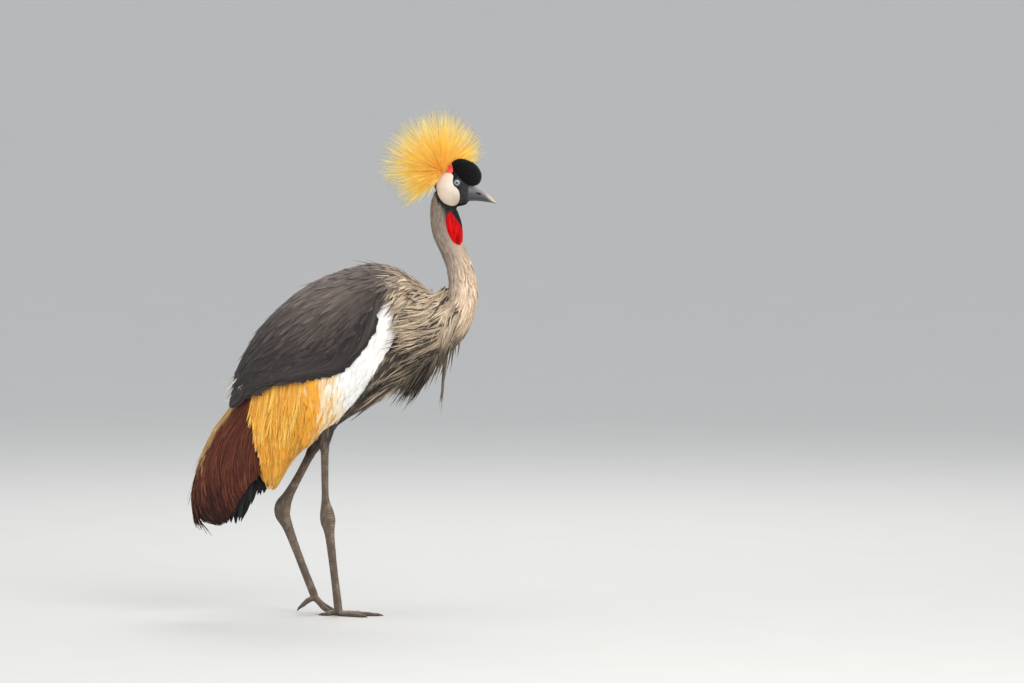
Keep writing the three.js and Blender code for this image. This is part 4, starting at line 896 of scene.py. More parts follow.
for name, form in thigh_forms.items():
    draw = np.random.default_rng(191)
    u, v = roots(form, 1, 4.2, draw, lambda p: p[:, 2] < 430, (0.1, 0.995), (0, 1), 12000)
    length, turn = draw.uniform(20, 34, len(u)), draw.normal(0, 0.1, len(u))
    down = one_way(-0.12 if name == "right" else -0.45, -1.0)
    lines, normals = combed(form, 1, u, v, down, length, 5, turn)
    tint = blend((0.055, 0.044, 0.036), (0.17, 0.13, 0.10), draw.random(len(u)) ** 2)
    widths = draw.uniform(3.5, 5.5, len(u))
    lift = 1.2 + 2.0 * np.linspace(0, 1, 6)[None, :] + np.zeros((len(u), 1))
    thigh = vanes(lines, normals, widths, LANCE, lift, draw, tint, 3, wrap(form, u, v, 1))
    plumage(f"thigh_feathers_{name}", [thigh], belly_look, "grey_feather")


# The neck: short soft hackles laid down from the head, black on the throat, grey behind and almost white low
# in front, growing longer over the breast.
WATTLE_SIDE = [(210, 840), (240, 840), (250, 815), (258, 780), (250, 744), (236, 742), (222, 762), (212, 790)]
neck_look = finish("neck_hackles", feather_paint(0.9, 0.3, 0.65, 1.1), 0.7, specular_ior_level=0.2)


def neck_coat(draw, u_range, spacing, length, width, rise, steps, tries, tone):
    where = lambda p: ~inside(p[:, 0], p[:, 2], WATTLE_SIDE)
    u, v = roots(under_neck, 1, spacing, draw, where, u_range, (0, 1), tries)
    lengths = np.interp(u, u_range, length) * draw.uniform(0.8, 1.2, len(u))
    total = np.linalg.norm(np.diff(under_neck.rows[:, :2], axis=0), axis=1).sum()
    s = np.linspace(0, 1, steps + 1)[None, :]
    us = u[:, None] + (lengths / total)[:, None] * s
    vs = v[:, None] + draw.normal(0, 0.012, (len(u), 1)) * s
    lines, normals = under_neck.at(us, vs), under_neck.outward(us, vs)
    widths = draw.uniform(*width, len(u)) * np.interp(u, (0, 1), (0.8, 1.4))
    lift = 0.2 + rise * s * np.interp(u, (0, 0.5, 1), (0.6, 1.0, 1.5))[:, None]
    return vanes(lines, normals, widths, LANCE, lift, draw, markings(lines[:, 1]), 3,
                 wrap(under_neck, u, v, 1), tone=tone, root_shade=0.8, tip_shade=1.08, cup=0.3)


draw = np.random.default_rng(211)
upper = neck_coat(draw, (0.04, 0.5), 3.4, (11, 16), (2.2, 3.2), 2.4, 4, 40000, 0.12)
lower = neck_coat(draw, (0.5, 0.96), 4.2, (18, 44), (3.0, 4.2), 3.4, 5, 46000, 0.14)
plumage("neck_hackles", [upper, lower], neck_look, "neck_plume")


# Breast plumes: long pointed hackles, buff-grey, that sweep from the foot of the neck back over the shoulder
# and the white, and hang free in front of the breast. A share of them are painted near black, as painted
# shade in the gaps between the plumes. A row gives the number, two ends of the line of roots, two of the
# tips', length, depths, bow, width, shadow share, spread and rise.
HACKLES = [
    (170, (200, 646), (226, 596), (124, 640), (84, 540), (0.55, 1.05), (1.5, 3), 5, (3.4, 5.6), 0.25, 3, 3),
    (170, (226, 606), (236, 566), (122, 572), (96, 474), (0.55, 1.05), (2, 5), 7, (3.4, 5.6), 0.4, 3, 3),
    (60, (216, 672), (228, 640), (176, 640), (160, 600), (0.7, 1.1), (2, 4), 5, (3.4, 5.4), 0.15, 4, 3),
    (230, (238, 664), (256, 600), (198, 530), (182, 490), (0.6, 1.0), (0, 3), -6, (3.2, 5.2), 0.1, 4.5, 3),
    (200, (236, 606), (234, 566), (142, 512), (98, 446), (0.6, 1.05), (2, 3), -5, (3.4, 5.6), 0.45, 3, 3),
    (110, (206, 566), (160, 520), (76, 462), (8, 398), (0.6, 1.0), (1, -1), 3, (3.4, 5.6), 0.7, 3, 3),
    (110, (232, 586), (216, 560), (158, 464), (104, 424), (0.75, 1.02), (-6, -16), -4, (3.2, 5), 0.5, 3, 0),
    (3, (218, 556), (214, 552), (206, 424), (200, 404), (0.8, 1.0), (-10, -14), 2, (2.4, 3.4), 0, 1, 0),
]
BREAST_ROOTS = [(90, 660), (100, 760), (300, 760), (300, 560), (180, 560)]
WAVE = 2.5
plume_look = finish("breast_plumes", feather_paint(1.2, 0.5, 0.55, 1.35), 0.6, specular_ior_level=0.3)


# Plume colours: buff-grey to pale buff, and near black for a share of the plumes, as painted shade in the
# gaps between them.
def plume_tint(total, draw, shadow_share, depth=0.05):
    tint = blend((0.36, 0.27, 0.19), (0.70, 0.55, 0.395), draw.random(total) ** 1.4)
    deep = depth * np.array([1.0, 0.78, 0.6]) * draw.uniform(0.5, 2.4, (total, 1))
    return np.where((draw.random(total) < shadow_share)[:, None], deep, tint)


def hackles(side, draw, total, root_0, root_1, tip_0, tip_1, length, out, bow, width, shadow_share, spread, rise):
    """Plumes from a line of roots to a line of tips in side view, laid on the body where it is under them."""
    share = draw.random((total, 1))
    between = lambda first, last: np.array(first) + (np.array(last) - np.array(first)) * share
    root = between(root_0, root_1) + draw.normal(0, spread, (total, 2))
    tip = between(tip_0, tip_1) + draw.normal(0, spread * 3, (total, 2))
    tip = root + (tip - root) * draw.uniform(*length, (total, 1))
    s = np.linspace(0, 1, 11)[None, :, None]
    beside = unit(np.stack([-(tip - root)[:, 1], (tip - root)[:, 0]], -1))[:, None]
    each = (total, 1, 1)
    swing = np.sin(np.pi * s) * bow * draw.uniform(0.4, 1.4, each)
    swing = swing + WAVE * s * np.sin(s * draw.uniform(4, 9, each) + draw.uniform(0, 6, each))
    flat = root[:, None] + (tip - root)[:, None] * s + beside * swing
    s = s[..., 0]
    lines, normals = laid(side, flat, out[0] + (out[1] - out[0]) * s + draw.uniform(-3, 3, (total, 1)) * s)
    lift = rise * s * draw.uniform(0.3, 1.3, (total, 1))
    half = 0.5 if side > 0 else 0
    place = np.stack([draw.uniform(0.02, 0.98, total), draw.uniform(0.02, 0.48, total) + half], -1)
    # Plumes that hang low at the front of the breast are painted darker: painted shade under the breast.
    under = 556 + (lines[..., 0] - 105) * 0.26 - lines[..., 2]
    painted_breast_shade = 1 - 0.74 * ease(under, 0, 60) * ease(lines[..., 0], 90, 150)
    tint = plume_tint(total, draw, shadow_share)[:, None] * painted_breast_shade[..., None]
    widths = draw.uniform(*width, total)
    return vanes(lines, normals, widths, LANCE, lift, draw, tint, 3, place, root_shade=0.75, edge_shade=0.85,
                 tip_shade=1.15, tone=0.14, fray=0.12, cup=0.35, ragged=0.08)


breast_area = {
    "outline": BREAST_ROOTS, "way": GREY_LIE, "keep": lambda x, z, draw: np.ones(x.shape, bool),
    "colour": lambda p, draw: plume_tint(len(p), draw, 0.2, 0.13) * 0.85, "u_range": (0.0, 0.16),
    "v_range": (0.006, 0.62), "spread": 0.22, "wave": WAVE, "root_shade": 0.7, "tip_shade": 1.15, "fray": 0.1,
}
plumes = []
for name, side in SIDES:
    draw = np.random.default_rng(233 + side)
    plumes.append(coat(side, draw, 5.5, (32, 60), (4, 6.5), -3.4, 3.0, LANCE, 3, 7, **breast_area))
    plumes += [hackles(side, draw, *row) for row in HACKLES]
plumage("breast_plumes", plumes, plume_look, "neck_plume")


# Head feathers: fine, short and black, set close in the skin of the head. They lie back from the bill round
# the bare cheek, the red patch over it and the eye.
CHEEK = [
    (198, 878), (199, 892), (206, 904), (215, 909), (227, 908.5), (232, 903), (231, 892), (233.5, 883.5),
    (239, 878.5), (243.5, 872), (245, 858), (241, 847), (233, 843), (221, 845), (210, 852), (202, 864),
]
RED_PATCH = [(207, 906), (219, 921), (229, 926), (231, 911), (226, 909), (215, 911)]
EYE_CLEAR = 8.5
head_look = finish("head_feathers", feather_paint(0.6, 0.4, 0.6, 1.2), 0.7, specular_ior_level=0.15)


def feathered(p):
    x, z = p[:, 0], p[:, 2]
    bare = inside(x, z, CHEEK) | inside(x, z, RED_PATCH) | (np.hypot(x - 240, z - 890) < EYE_CLEAR)
    return ~bare & (x < 262)


draw = np.random.default_rng(251)
u, v = roots(under_head, 1, 1.9, draw, feathered, (0.02, 0.97), (0, 1), 36000)
length, turn = draw.uniform(5, 8, len(u)), draw.normal(0, 0.12, len(u))
lines, normals = combed(under_head, 1, u, v, one_way(-0.9, -0.45), length, 3, turn)
greyer = ease(lines[:, 1, 0], 236, 252) * (lines[:, 1, 2] > 848)
tint = blend((0.009, 0.009, 0.010), (0.040, 0.039, 0.043), greyer)
lift = 0.2 + 0.9 * np.linspace(0, 1, 4)[None, :] + np.zeros((len(u), 1))
head_coat = vanes(lines, normals, draw.uniform(1.2, 1.8, len(u)), LANCE, lift, draw, tint, 3,
                  wrap(under_head, u, v, 1))
plumage("head_feathers", [head_coat], head_look, "head_down")


# Cheek and the patch over it: bare skin, white and red. Each is a thin plate with a soft rounded edge, laid
# on the side of the head.
PATCH_RINGS = [1.03, 1.0, 0.985, 0.96, 0.92, 0.86, 0.78, 0.68, 0.56, 0.42, 0.28, 0.14]
head_points, head_faces = joined([rings(head_form, 80, 96), rings(neck_form, 120, 64)])
head_tree = BVHTree.FromPolygons(head_points.tolist(), head_faces)


def patch(name, outline, side, proud, look, slot, node):
    """A bare patch: its outline smoothed, drawn in towards its middle, and laid on the head with a rim."""
    closed = through([*outline, *outline[:3]], 40 * (len(outline) + 2) + 1)[40:-40]
    rim = closed[:-1:2] if len(closed) % 2 else closed[::2]
    middle, ring = rim.mean(0), len(rim)
    points = np.zeros((len(PATCH_RINGS), ring, 3))
    for i, fraction in enumerate(PATCH_RINGS):
        for j, (x, z) in enumerate(middle + (rim - middle) * fraction):
            hit, _, _, _ = head_tree.ray_cast(Vector((x, side * 80, z)), Vector((0, -side, 0)), 79)
            points[i, j] = x, hit[1] if hit else side * 6, z
    y = points[..., 1]
    for _ in range(30):
        y[:] = (np.roll(y, 1, 1) + 2 * y + np.roll(y, -1, 1)) / 4
        y[1:-1] = (y[:-2] + 2 * y[1:-1] + y[2:]) / 4
    for row, fraction in zip(y, PATCH_RINGS):
        height = proud * np.sqrt(np.clip((1.03 - fraction) / 0.16, 0, 1)) * (1 + 0.25 * (1 - fraction))
        row += side * (height - 0.5 * (fraction > 1.01))
    points = np.vstack([points.reshape(-1, 3), points[-1].mean(0)])
    faces = [face for face in ring_faces(len(PATCH_RINGS), ring) if len(face) == 4]
    inner = (len(PATCH_RINGS) - 1) * ring
    faces += [[inner + i, inner + (i + 1) % ring, len(points) - 1] for i in range(ring)]
    piece(name, points, faces, look, slot, [node])


def cheek_paint(start):
    soft, fine = noise(start, 45.0, 3.0), noise(start, 700.0, 5.0)
    pores = start.node("ShaderNodeTexVoronoi", None, {"Vector": object_place(start), "Scale": 900.0})
    _, _, height = object_place(start).parts()
    colour = (height + soft * 0.02).between(0.898, 0.858).mix((0.74, 0.66, 0.61), (0.52, 0.42, 0.31))
    colour = soft.between(0.55, 0.8).mix(colour, (0.66, 0.55, 0.47))
    return {"colour": colour.shaded(0.93 + fine * 0.12), "relief": (fine + pores * 0.5, 0.35, 0.0005)}


def red_paint(deep, bright):
    def paint(start):
        fine, folds = noise(start, 500.0, 5.0), noise(start, 120.0, 3.0, (1.6, 1.6, 0.35))
        colour = folds.between(0.35, 0.68).mix(deep, bright)
        return {"colour": colour.shaded(0.85 + fine * 0.3), "relief": (folds * 1.5 + fine * 0.5, 0.5, 0.001)}
    return paint


cheek_look = finish("cheek_skin", cheek_paint, 0.5, subsurface_weight=0.1, specular_ior_level=0.35)
red_skin = red_paint((0.60, 0.045, 0.035), (0.82, 0.12, 0.09))
red_look = finish("red_skin", red_skin, 0.5, specular_ior_level=0.3)
for name, side in SIDES:
    patch(f"cheek_skin_{name}", CHEEK, side, 1.9, cheek_look, "cheek_skin", f"cheek_{name}")
    patch(f"red_skin_{name}", RED_PATCH, side, 1.6, red_look, "red_skin", f"red_patch_{name}")


# Eyes: glass set in the head, with a small black pupil in a pale blue-grey iris and a dark rim. Round each is
# a ring of wrinkled dark lid.
LID_TURNS, LID_SIDES = 72, 14


def eye_paint(centre):
    def paint(start):
        inputs = {0: object_place(start), 1: tuple(centre)}
        x, _, z = start.node("ShaderNodeVectorMath", {"operation": "SUBTRACT"}, inputs).parts()
        far = (x * x + z * z).math("SQRT") * 1000
        ring = start.node("ShaderNodeCombineXYZ", None, {0: z.math("ARCTAN2", x) * 7.0, 1: far * 0.35})
        rays = start.node("ShaderNodeTexNoise", None, {"Vector": ring, "Scale": 1.6, "Detail": 5.0})
        iris = rays.between(0.3, 0.7).mix((0.13, 0.22, 0.27), (0.42, 0.53, 0.58))
        iris = far.between(2.6, 3.4).mix((0.07, 0.12, 0.15), iris)
        iris = far.between(1.9, 2.2).mix((0.002, 0.002, 0.002), iris)
        return {"colour": far.between(5.3, 6.0).mix(iris, (0.006, 0.006, 0.007))}
    return paint


def lid_paint(start):
    wrinkle = noise(start, 420.0, 5.0)
    return {"colour": wrinkle.mix((0.018, 0.019, 0.022), (0.055, 0.058, 0.065)),
            "relief": (wrinkle, 0.7, 0.0006)}


lid_look = finish("eyelids", lid_paint, 0.6)
turns, drops = np.meshgrid(np.arange(48) / 48 * 2 * np.pi, np.linspace(0.02, 1, 26), indexing="xy")
tilt = drops * np.pi * 0.62
radius = 8.0 + 0.7 * np.exp(-((tilt / 0.55) ** 4))
i, j = np.meshgrid(np.arange(LID_TURNS), np.arange(LID_SIDES), indexing="ij")
a, b = i / LID_TURNS * 2 * np.pi, j / LID_SIDES * 2 * np.pi
fat = 1.45 + 0.25 * np.sin(a) + 0.12 * np.sin(13 * a)
reach = 6.9 + 0.35 * np.cos(2 * a) + 0.12 * np.sin(9 * a) + fat * np.cos(b)
next_i, next_j = (i + 1) % LID_TURNS, (j + 1) % LID_SIDES
corners = [i * LID_SIDES + j, next_i * LID_SIDES + j, next_i * LID_SIDES + next_j, i * LID_SIDES + next_j]
lid_faces = np.stack(corners, -1).reshape(-1, 4).tolist()
for name, side in SIDES:
    centre = np.array([EYE_AT[0], side * EYE_AT[1], EYE_AT[2]])
    ball = [np.sin(tilt) * np.cos(turns) * radius, side * np.cos(tilt) * radius,
            np.sin(tilt) * np.sin(turns) * radius]
    ball_look = finish(f"eye_glass_{name}", eye_paint(metres(centre)), 0.12, coat_weight=1.0,
                       coat_roughness=0.03)
    piece(f"eye_ball_{name}", np.stack(ball, -1).reshape(-1, 3) + centre, ring_faces(26, 48), ball_look,
          "eye_glass", [f"eye_{name}"])
    lid = np.stack([reach * np.cos(a), side * (4.4 + fat * 0.9 * np.sin(b)), reach * np.sin(a)], -1)
    piece(f"eyelid_{name}", lid.reshape(-1, 3) + centre, lid_faces, lid_look, "head_down")


# The bill: slate-grey horn, paler at its tip, with a painted highlight along its ridge, and the line of the
# mouth and a slot of a nostril, both painted near black as painted shade in the groove and the slot. It is
# one sheath over the two jaws.
BILL = [
    (262, 868.2, 18, 11), (266.4, 868, 17, 10.6), (278, 866, 14.5, 9), (290, 862, 11.5, 7.4),
    (303, 857, 8, 5.4), (314, 851, 4.2, 3.2), (320.5, 846.5, 1.2, 1.2),
]
MOUTH_Z, MOUTH_X, MOUTH_BEND = 857.3, 275, 0.0058
NOSTRIL_X, NOSTRIL_Z, NOSTRIL_SLOPE = 284, 866.3, 0.3
bill_points, bill_faces = rings(Form(BILL, "upright"), 150, 110)
x, y, z = bill_points.T
gap = z - (MOUTH_Z - MOUTH_BEND * np.maximum(x - MOUTH_X, 0) ** 2)
groove = 0.55 * np.exp(-((gap / 0.55) ** 2)) * ease(np.abs(y), 0.2, 1.5)
drop = z - NOSTRIL_Z + (x - NOSTRIL_X) * NOSTRIL_SLOPE
slot = np.clip(1 - ((x - NOSTRIL_X) / 5.0) ** 2 - (drop / 2.2) ** 2, 0, 1)
bill_points[:, 1] -= np.sign(y) * (groove + 2.4 * slot**0.5)
bill_points[:, 1] *= 1 - 0.08 * ease(z, 862, 880) * ease(x, 262, 275)


def bill_paint(start):
    x, _, z = object_place(start).parts()
    x, z = (x - float(HOME[0])) * 1000, z * 1000
    grain, fine = noise(start, 160.0, 5.0, (0.25, 1, 1)), noise(start, 1200.0, 5.0)
    # A pale band along the top of the ridge: a painted highlight.
    top = z + (x - 266) * 0.62
    colour = grain.mix((0.036, 0.037, 0.045), (0.080, 0.080, 0.090))
    colour = (top + grain * 5).between(883, 888).mix(colour, (0.24, 0.205, 0.185))
    colour = (x + grain * 5 + (z - 850) * 0.6).between(306, 320).mix(colour, (0.52, 0.46, 0.37))
    # The nostril's slot is painted near black: painted shade inside it.
    across = (x - NOSTRIL_X) * 0.17
    drop = (z - NOSTRIL_Z + (x - NOSTRIL_X) * NOSTRIL_SLOPE) * 0.4
    colour = (across * across + drop * drop).between(1.1, 0.6).mix(colour, (0.004, 0.004, 0.004))
    # The mouth's line is painted near black: painted shade in its groove.
    past = (x - MOUTH_X).math("MAXIMUM", 0.0)
    mouth = (z - MOUTH_Z + past * past * MOUTH_BEND).math("ABSOLUTE")
    colour = mouth.between(0.9, 0.3).mix(colour, (0.012, 0.011, 0.012))
    return {"colour": colour.shaded(0.9 + fine * 0.2), "relief": (grain + fine * 0.3, 0.35, 0.0006),
            "roughness": 0.34 + grain * 0.2}


bill_look = finish("bill_horn", bill_paint, 0.4, specular_ior_level=0.5)
piece("bill", bill_points, bill_faces, bill_look, "bill_horn", ["bill_upper", "bill_lower"])


# The cap: a swelling of dense velvet feathers on the forehead, black, with a nap so short that it reads as
# velvet. The nap stands on a form of its own.
CAP = [
    (229, 921, 4, 4), (235, 922, 14, 12), (246, 920, 20, 18), (260, 911, 24, 20), (272, 900, 22, 18),
    (281, 891, 14, 12), (285, 887, 4, 4),
]
NAP_DEPTH = 1.2


def cap_paint(start):
    nap, brushed = noise(start, 1100.0, 6.0), noise(start, 90.0, 3.0)
    colour = brushed.mix((0.004, 0.004, 0.005), (0.010, 0.010, 0.013))
    return {"colour": colour.shaded(0.7 + nap * 0.6), "relief": (nap, 0.8, 0.0008),
            "roughness": 0.8 + nap * 0.2}


cap_look = finish("cap_velvet", cap_paint, 0.9, sheen_weight=0.12, sheen_roughness=0.4,
                  specular_ior_level=0.08)
nap_look = finish("cap_nap", feather_paint(0.5, 0.3, 0.75, 1.0), 0.9, sheen_weight=0.1,
                  specular_ior_level=0.08)
inner_cap = Form(CAP, "bent", NAP_DEPTH)
piece("cap_form", *rings(inner_cap, 70, 80), cap_look, "cap_velvet", ["cap"])
draw = np.random.default_rng(271)
u, v = roots(inner_cap, 1, 1.25, draw, lambda p: p[:, 2] > 884, (0.01, 0.99), (0, 1), 26000)
length, turn = draw.uniform(2.2, 3.4, len(u)), draw.normal(0, 0.5, len(u))
lines, normals = combed(inner_cap, 1, u, v, one_way(-0.8, 0.3), length, 2, turn)
lift = np.linspace(0, 1, 3)[None, :] * draw.uniform(0.9, 1.7, (len(u), 1))
tint = np.tile((0.006, 0.006, 0.008), (len(u), 1))
nap = vanes(lines, normals, draw.uniform(0.7, 1.1, len(u)), LANCE, lift, draw, tint, 2,
            wrap(inner_cap, u, v, 1))
plumage("cap_nap", [nap], nap_look, "cap_velvet")


# The crest: stiff golden bristles, each a twisted strand with a fine dark tip, that stand out from the crown
# in a ball, round a small pad of down. Those that would stand across the head in side view lie in its middle.
CREST_HEART, CREST_WAY = np.array([210.0, 0.0, 911.0]), unit(np.array([-0.42, 0.0, 0.91]))
HEAD_SIDE = [
    (196, 880), (200, 897), (210, 908), (222, 930), (238, 942), (262, 938), (290, 900), (290, 870),
    (240, 840), (206, 850),
]
ROOT_GOLD, MID_GOLD = (1.0, 0.47, 0.06), (1.0, 0.62, 0.11)
TIP_STRAW, TIP_DARK = (0.86, 0.68, 0.16), (0.16, 0.11, 0.03)
GOLDEN_TURN, CREST_LENGTH, CREST_TRIES = 2.39996, 138, 2300
PAD_LEAN = -0.9
draw = np.random.default_rng(291)
share = (np.arange(CREST_TRIES) + 0.5) / CREST_TRIES
turn = np.arange(CREST_TRIES) * GOLDEN_TURN + draw.normal(0, 0.1, CREST_TRIES)
open_ = np.arccos(1 - share * 1.32) + draw.normal(0, 0.02, CREST_TRIES)
beside = np.array([0.0, 1.0, 0.0])
over = np.cross(CREST_WAY, beside)
round_way = beside * np.cos(turn)[:, None] + over * np.sin(turn)[:, None]
heading = CREST_WAY * np.cos(open_)[:, None] + round_way * np.sin(open_)[:, None]
ahead, sideways, upward = heading.T
length = 1 - 0.26 * np.clip((ahead - 0.1) / 0.7, 0, 1) - 0.16 * np.clip((ahead - 0.78) / 0.2, 0, 1)
length = length - 0.2 * np.clip(-3 * upward, 0, 1) - 0.07 * abs(sideways)
length = CREST_LENGTH * length * (1 - 0.22 * draw.random(CREST_TRIES) ** 2)
s = np.linspace(0, 1, 9)
bend = draw.standard_normal((CREST_TRIES, 3)) * 1.1
first = lambda heading: CREST_HEART + heading * np.array([8.0, 11.0, 8.0])
flat = first(heading)[:, None] + heading[:, None] * (length[:, None] * s)[..., None]
covers = (inside(flat[..., 0], flat[..., 2], HEAD_SIDE) & (np.abs(flat[..., 1]) > 4))[:, 1:].any(1)
broad = np.abs(heading[:, 1]) > 0.6
heading[covers, 1] *= 0.015
bend[covers, 1] *= 2.6
heading = unit(heading)
kept = ~(covers & ((heading[:, 2] < 0.3) | broad))
heading, length, bend, share, turn = (part[kept] for part in (heading, length, bend, share, turn))
total = len(heading)
sideways = unit(np.cross(heading, draw.standard_normal((total, 3))))
lines = first(heading)[:, None] + heading[:, None] * ((length - 8)[:, None] * s)[..., None]
lines = lines + bend[:, None] * (s**2)[None, :, None]
lines[..., 2] -= (s**2 * 3)[None, :]
wind = draw.uniform(0, 6, (total, 1)) + s[None, :] * draw.uniform(4, 9, (total, 1))
normals = sideways[:, None] * np.cos(wind)[..., None]
normals = normals + np.cross(heading, sideways)[:, None] * np.sin(wind)[..., None]
shade = blend(blend(ROOT_GOLD, MID_GOLD, ease(s, 0.1, 0.55)), TIP_STRAW, ease(s, 0.5, 0.9))
tint = shade[None] * draw.uniform(0.7, 1.1, (total, 1, 1))
tint = blend(tint, TIP_DARK, (draw.random(total) < 0.4)[:, None] * ease(s, 0.9, 1.0)[None, :])
place = 0.5 + 0.46 * np.sqrt(share)[:, None] * np.stack([np.cos(turn), np.sin(turn)], -1)
shape = lambda s: np.interp(s, (0, 0.6, 1), (1, 0.75, 0.25))
bristles = vanes(lines, normals, draw.uniform(0.8, 1.15, total), shape, np.zeros((total, 9)), draw, tint, 3,
                 place, root_shade=0.9, tip_shade=1.0, tone=0.1, cup=0.9)


# The bristles also glow with their own colour. This is painted light, standing in for light shining through
# them and lifting the shade deep in the ball.
def bristle_paint_with_painted_glow(start):
    look = feather_paint(1.0, 0.3, 0.4, 1.1)(start)
    return {**look, "glow": look["colour"]}


crest_look = finish("crest_bristles", bristle_paint_with_painted_glow, 0.45, specular_ior_level=0.3, emission_strength=0.28)
plumage("crest_bristles", [bristles], crest_look, "crest_bristle", ["crest"])
u, v = np.meshgrid(np.linspace(0.02, 0.98, 24), np.arange(48) / 48, indexing="ij")
wide = np.sin(np.pi * u)
x, y, z = 18.5 * wide * np.cos(2 * np.pi * v), 15.5 * wide * np.sin(2 * np.pi * v), 9 * np.cos(np.pi * u)
cos, sin = math.cos(PAD_LEAN), math.sin(PAD_LEAN)
pad = np.stack([x * cos + z * sin, y, -x * sin + z * cos], -1).reshape(-1, 3) + np.array([209, 0, 913])
piece("crest_pad", pad, ring_faces(24, 48), finish("crest_pad", skin_paint, 0.8), "crest_bristle", (),
      np.tile((0.70, 0.33, 0.05), (len(pad), 1)))


# The wattle: two bright red lobes of soft bare skin under the throat, with long folds, joined by a bridge in
# front. The upper front of it is black.
LOBE = [
    (221, 834, 5, 5, 8), (226, 818, 12, 9, 11.5), (232, 795, 15, 9.5, 12), (237, 772, 13, 8, 10),
    (241, 751, 5, 4.5, 7),
]
BRIDGE = [(235, 832, 5.5, 8, 0), (243, 803, 7, 11, 0), (246, 776, 6, 10, 0), (246, 756, 3.5, 6, 0)]
FOLD_DEPTH = 0.4
lobes = [[(x, z, deep - FOLD_DEPTH, wide - FOLD_DEPTH, side * y) for x, z, deep, wide, y in LOBE]
         for _, side in SIDES]
parts = [*(rings(Form(lobe, "bent"), 40, 32) for lobe in lobes), rings(Form(BRIDGE, "bent"), 30, 32)]
wattle_points, wattle_faces = fused("wattle", parts, 1.1, 3)
x, y, z = wattle_points.T
across = x - np.interp(z, (751, 772, 795, 818, 834), (241, 237, 232, 226, 221))
fold = 0.3 * np.sin(across * 0.9 + np.sin(z * 0.09) * 0.8)
fold = fold - 1.7 * np.exp(-(((across - 1.5 - np.sin(z * 0.06)) / 1.7) ** 2))
fold = np.sign(y) * fold * ease(np.abs(across), 13, 6) * ease(np.abs(y), 4, 9) * ease(z, 756, 768)
wattle_points[:, 1] += fold


def wattle_paint(start):
    look = red_paint((0.30, 0.0005, 0.001), (0.74, 0.001, 0.003))(start)
    x, _, z = object_place(start, 1000.0).parts()
    line = z + (x - (230 + float(HOME[0]) * 1000)) * 1.43 + noise(start, 300.0) * 3
    return {**look, "colour": line.between(827, 830).mix(look["colour"], BLACK)}


wattle_look = finish("wattle_skin", wattle_paint, 0.6, specular_ior_level=0.1)
piece("wattle_folds", wattle_points, wattle_faces, wattle_look, "red_skin", ["wattle"])


# Legs and feet: dark horn-grey scales, broad scutes down the front of the tarsus and over the toes and small
# round scales elsewhere, over the thick hock, with three long toes ahead and a short one behind. A toe's
# numbers are its turn, then how far from the palm and how high each of its joints is.
LEGS = {
    "right": [
        (-31, 362, 8.8, 7.4, -35), (-31, 300, 7.6, 6.6, -33), (-30, 240, 8, 7, -31), (-27, 214, 14, 11, -30),
        (-25, 196, 15.5, 11.5, -29), (-22, 172, 10.5, 8.6, -28), (-16, 120, 8.4, 6.8, -26),
        (-9, 60, 8, 6.6, -24), (-4, 16, 8.4, 8, -22), (-3, 8, 7.5, 7.5, -22),
    ],
    "left": [
        (-55, 342, 9, 7.4, 36), (-84, 286, 8.4, 7, 35), (-106, 246, 11, 9, 34), (-118, 222, 16.5, 11.5, 33),
        (-119, 207, 16, 11.5, 33), (-109, 182, 11, 8.8, 32), (-91, 134, 8.4, 6.8, 30), (-71, 82, 8, 6.6, 28),
        (-55, 42, 8.2, 8, 26), (-53, 36, 7.5, 7.5, 26),
    ],
}
FEET = {
    "right": ((-3, -22), {
        "inner": (34, [(0, 6), (24, 4.6), (46, 3.9), (58, 2.9), (70, 1.4)]),
        "middle": (-4, [(0, 6), (30, 4.6), (58, 3.9), (78, 2.9), (92, 1.4)]),
        "outer": (-40, [(0, 6), (26, 4.6), (48, 3.9), (64, 2.9), (77, 1.4)]),
        "hind": (172, [(0, 9), (14, 6.4), (24, 4), (32, 2.9), (42, 1.4)]),
    }),
    "left": ((-54, 26), {
        "inner": (-32, [(2, 34), (24, 14), (44, 3.9), (56, 2.9), (69, 1.4)]),
        "middle": (4, [(2, 34), (26, 14), (52, 3.9), (74, 2.9), (88, 1.4)]),
        "outer": (38, [(2, 34), (24, 14), (46, 3.9), (62, 2.9), (75, 1.4)]),
        "hind": (184, [(0, 34), (14, 27), (22, 20), (28, 15), (35, 7)]),
    }),
}
TOE_RADII = (6.2, 5.3, 4.6, 3.4, 0.8)
SCUTE = 5.6
BLOCK = 4000


def round_path(rows, count, sides):
    """A round limb along a path in space: rows are x, y, z and the radius."""
    rows = through(rows, count)
    ahead = unit(np.gradient(rows[:, :3], axis=0))
    beside = unit(np.cross(ahead, np.array([0.0, 0.0, 1.0])))
    over = np.cross(beside, ahead)
    turn = (np.arange(sides) / sides * 2 * np.pi)[None, :, None]
    ring = beside[:, None] * np.cos(turn) + over[:, None] * np.sin(turn)
    points = rows[:, None, :3] + ring * rows[:, 3, None, None]
    points[..., 2] = np.maximum(points[..., 2], 0.15)
    return points.reshape(-1, 3), ring_faces(count, sides)


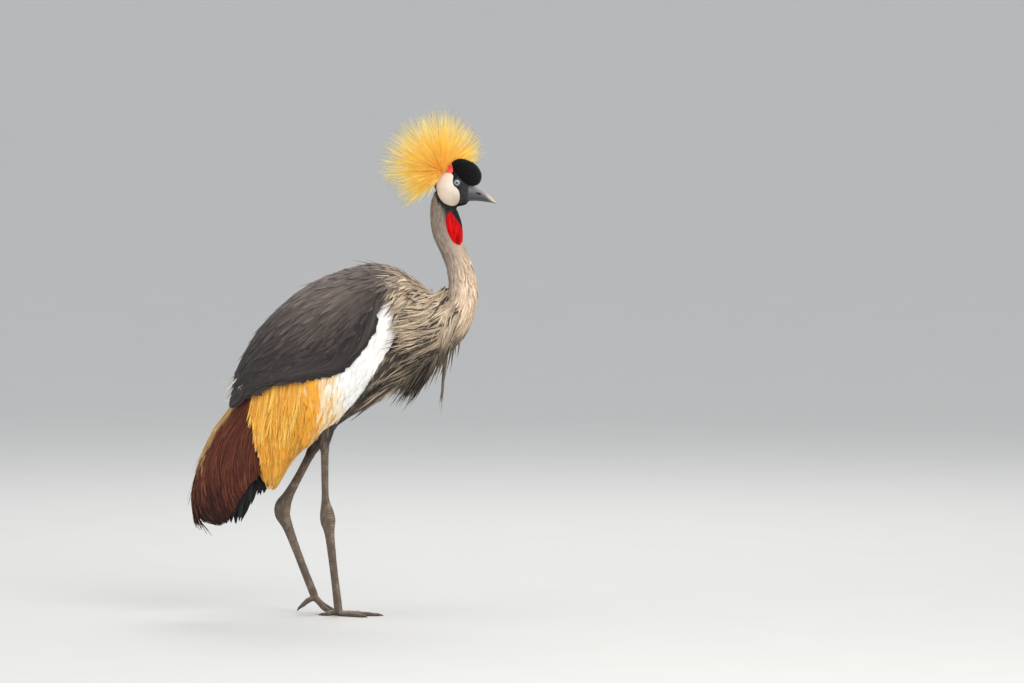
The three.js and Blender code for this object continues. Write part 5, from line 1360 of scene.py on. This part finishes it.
def scale_paint(start):
    value = lambda key: start.node("ShaderNodeAttribute", {"attribute_name": key}, None, 2)
    along, front = value("along"), value("front")
    inputs = {"Vector": object_place(start, (1, 1, 0.75)), "Scale": 430.0}
    cell = start.node("ShaderNodeTexVoronoi", {"feature": "DISTANCE_TO_EDGE"}, inputs).between(0.0, 0.12)
    wave = (along * (1 / SCUTE)).math("FRACT")
    scute = wave.between(0.0, 0.12) * (1 - wave).between(0.0, 0.1)
    height = front * scute + (1 - front) * cell
    dust_and_highlight, fine = noise(start, 70.0, 5.0), noise(start, 900.0)
    base = dust_and_highlight.between(0.25, 0.75).mix((0.105, 0.076, 0.056), (0.180, 0.130, 0.092))
    # Small pale patches where the noise is highest: a painted highlight, over the dusty tone below.
    base = (dust_and_highlight + fine * 0.4).between(0.74, 0.95).mix(base, (0.25, 0.19, 0.14))
    # The grooves between the scales and scutes are painted darker: painted shade.
    return {"colour": base.shaded(0.42 + height * 0.7), "relief": (height + fine * 0.25, 1.0, 0.0014),
            "roughness": 0.42 + dust_and_highlight * 0.3}


def claw_paint(start):
    streak = noise(start, 260.0, 4.0, (0.5, 0.5, 1))
    return {"colour": streak.mix((0.016, 0.014, 0.013), (0.06, 0.052, 0.045)),
            "relief": (streak, 0.3, 0.0004), "roughness": 0.25 + streak * 0.25}


leg_look = finish("leg_scales", scale_paint, 0.5, specular_ior_level=0.45)
claw_look = finish("claw_horn", claw_paint, 0.3, specular_ior_level=0.5)
for name, rows in LEGS.items():
    (palm_x, palm_y), toes = FEET[name]
    parts, axes = [rings(Form(rows, "bent"), 120, 28)], [through(rows, 200)[:, [0, 4, 1]]]
    for toe, (turn, joints) in toes.items():
        cos, sin = math.cos(math.radians(turn)), math.sin(math.radians(turn))
        knuckles = [(palm_x + cos * a, palm_y + sin * a, z, r) for (a, z), r in zip(joints, TOE_RADII)]
        whole = through(knuckles, 81)
        pads, tip = whole[:64].copy(), whole[56:].copy()
        pads[:, 3] *= 1 + 0.07 * np.cos(np.linspace(0, 6 * np.pi, 64))
        parts.append(round_path(pads, 50, 20))
        axes.append(whole[:64, :3])
        tip[:, 3] = np.interp(np.linspace(0, 1, len(tip)), (0, 0.25, 1), (2.6, 3.3, 0.75))
        tip[:, 2] = np.maximum(tip[:, 2] + 0.6 * np.sin(np.linspace(0, np.pi, len(tip))), 0.8)
        piece(f"claw_{name}_{toe}_horn", *round_path(tip, 25, 18), claw_look, "claw_horn",
              [f"claw_{name}_{toe}"])
    leg_points, leg_faces = fused(f"leg_{name}", parts, 1.3, 3)
    axis = np.vstack(axes)
    steps = [np.linalg.norm(np.diff(line, axis=0), axis=1) for line in axes]
    far = np.concatenate([np.concatenate([[0], np.cumsum(step)]) for step in steps])
    nearest = np.concatenate([((leg_points[first:first + BLOCK, None] - axis[None]) ** 2).sum(-1).argmin(1)
                              for first in range(0, len(leg_points), BLOCK)])
    out, along = unit(leg_points - axis[nearest]), far[nearest]
    front = ease(np.where(nearest < len(axes[0]), out[:, 0] + 0.15, out[:, 2]), 0.2, 0.6)
    beat = (along / SCUTE) % 1
    scute = ease(beat, 0, 0.16) * ease(1 - beat, 0, 0.14)
    leg_points = leg_points + out * (front * (scute - 0.6) * 0.8)[:, None]
    leg_points[:, 2] = np.maximum(leg_points[:, 2], 0.1)
    piece(f"leg_{name}", leg_points, leg_faces, leg_look, "leg_scale",
          [f"shank_{name}", f"tarsus_{name}", f"foot_{name}"], None, {"along": along, "front": front})
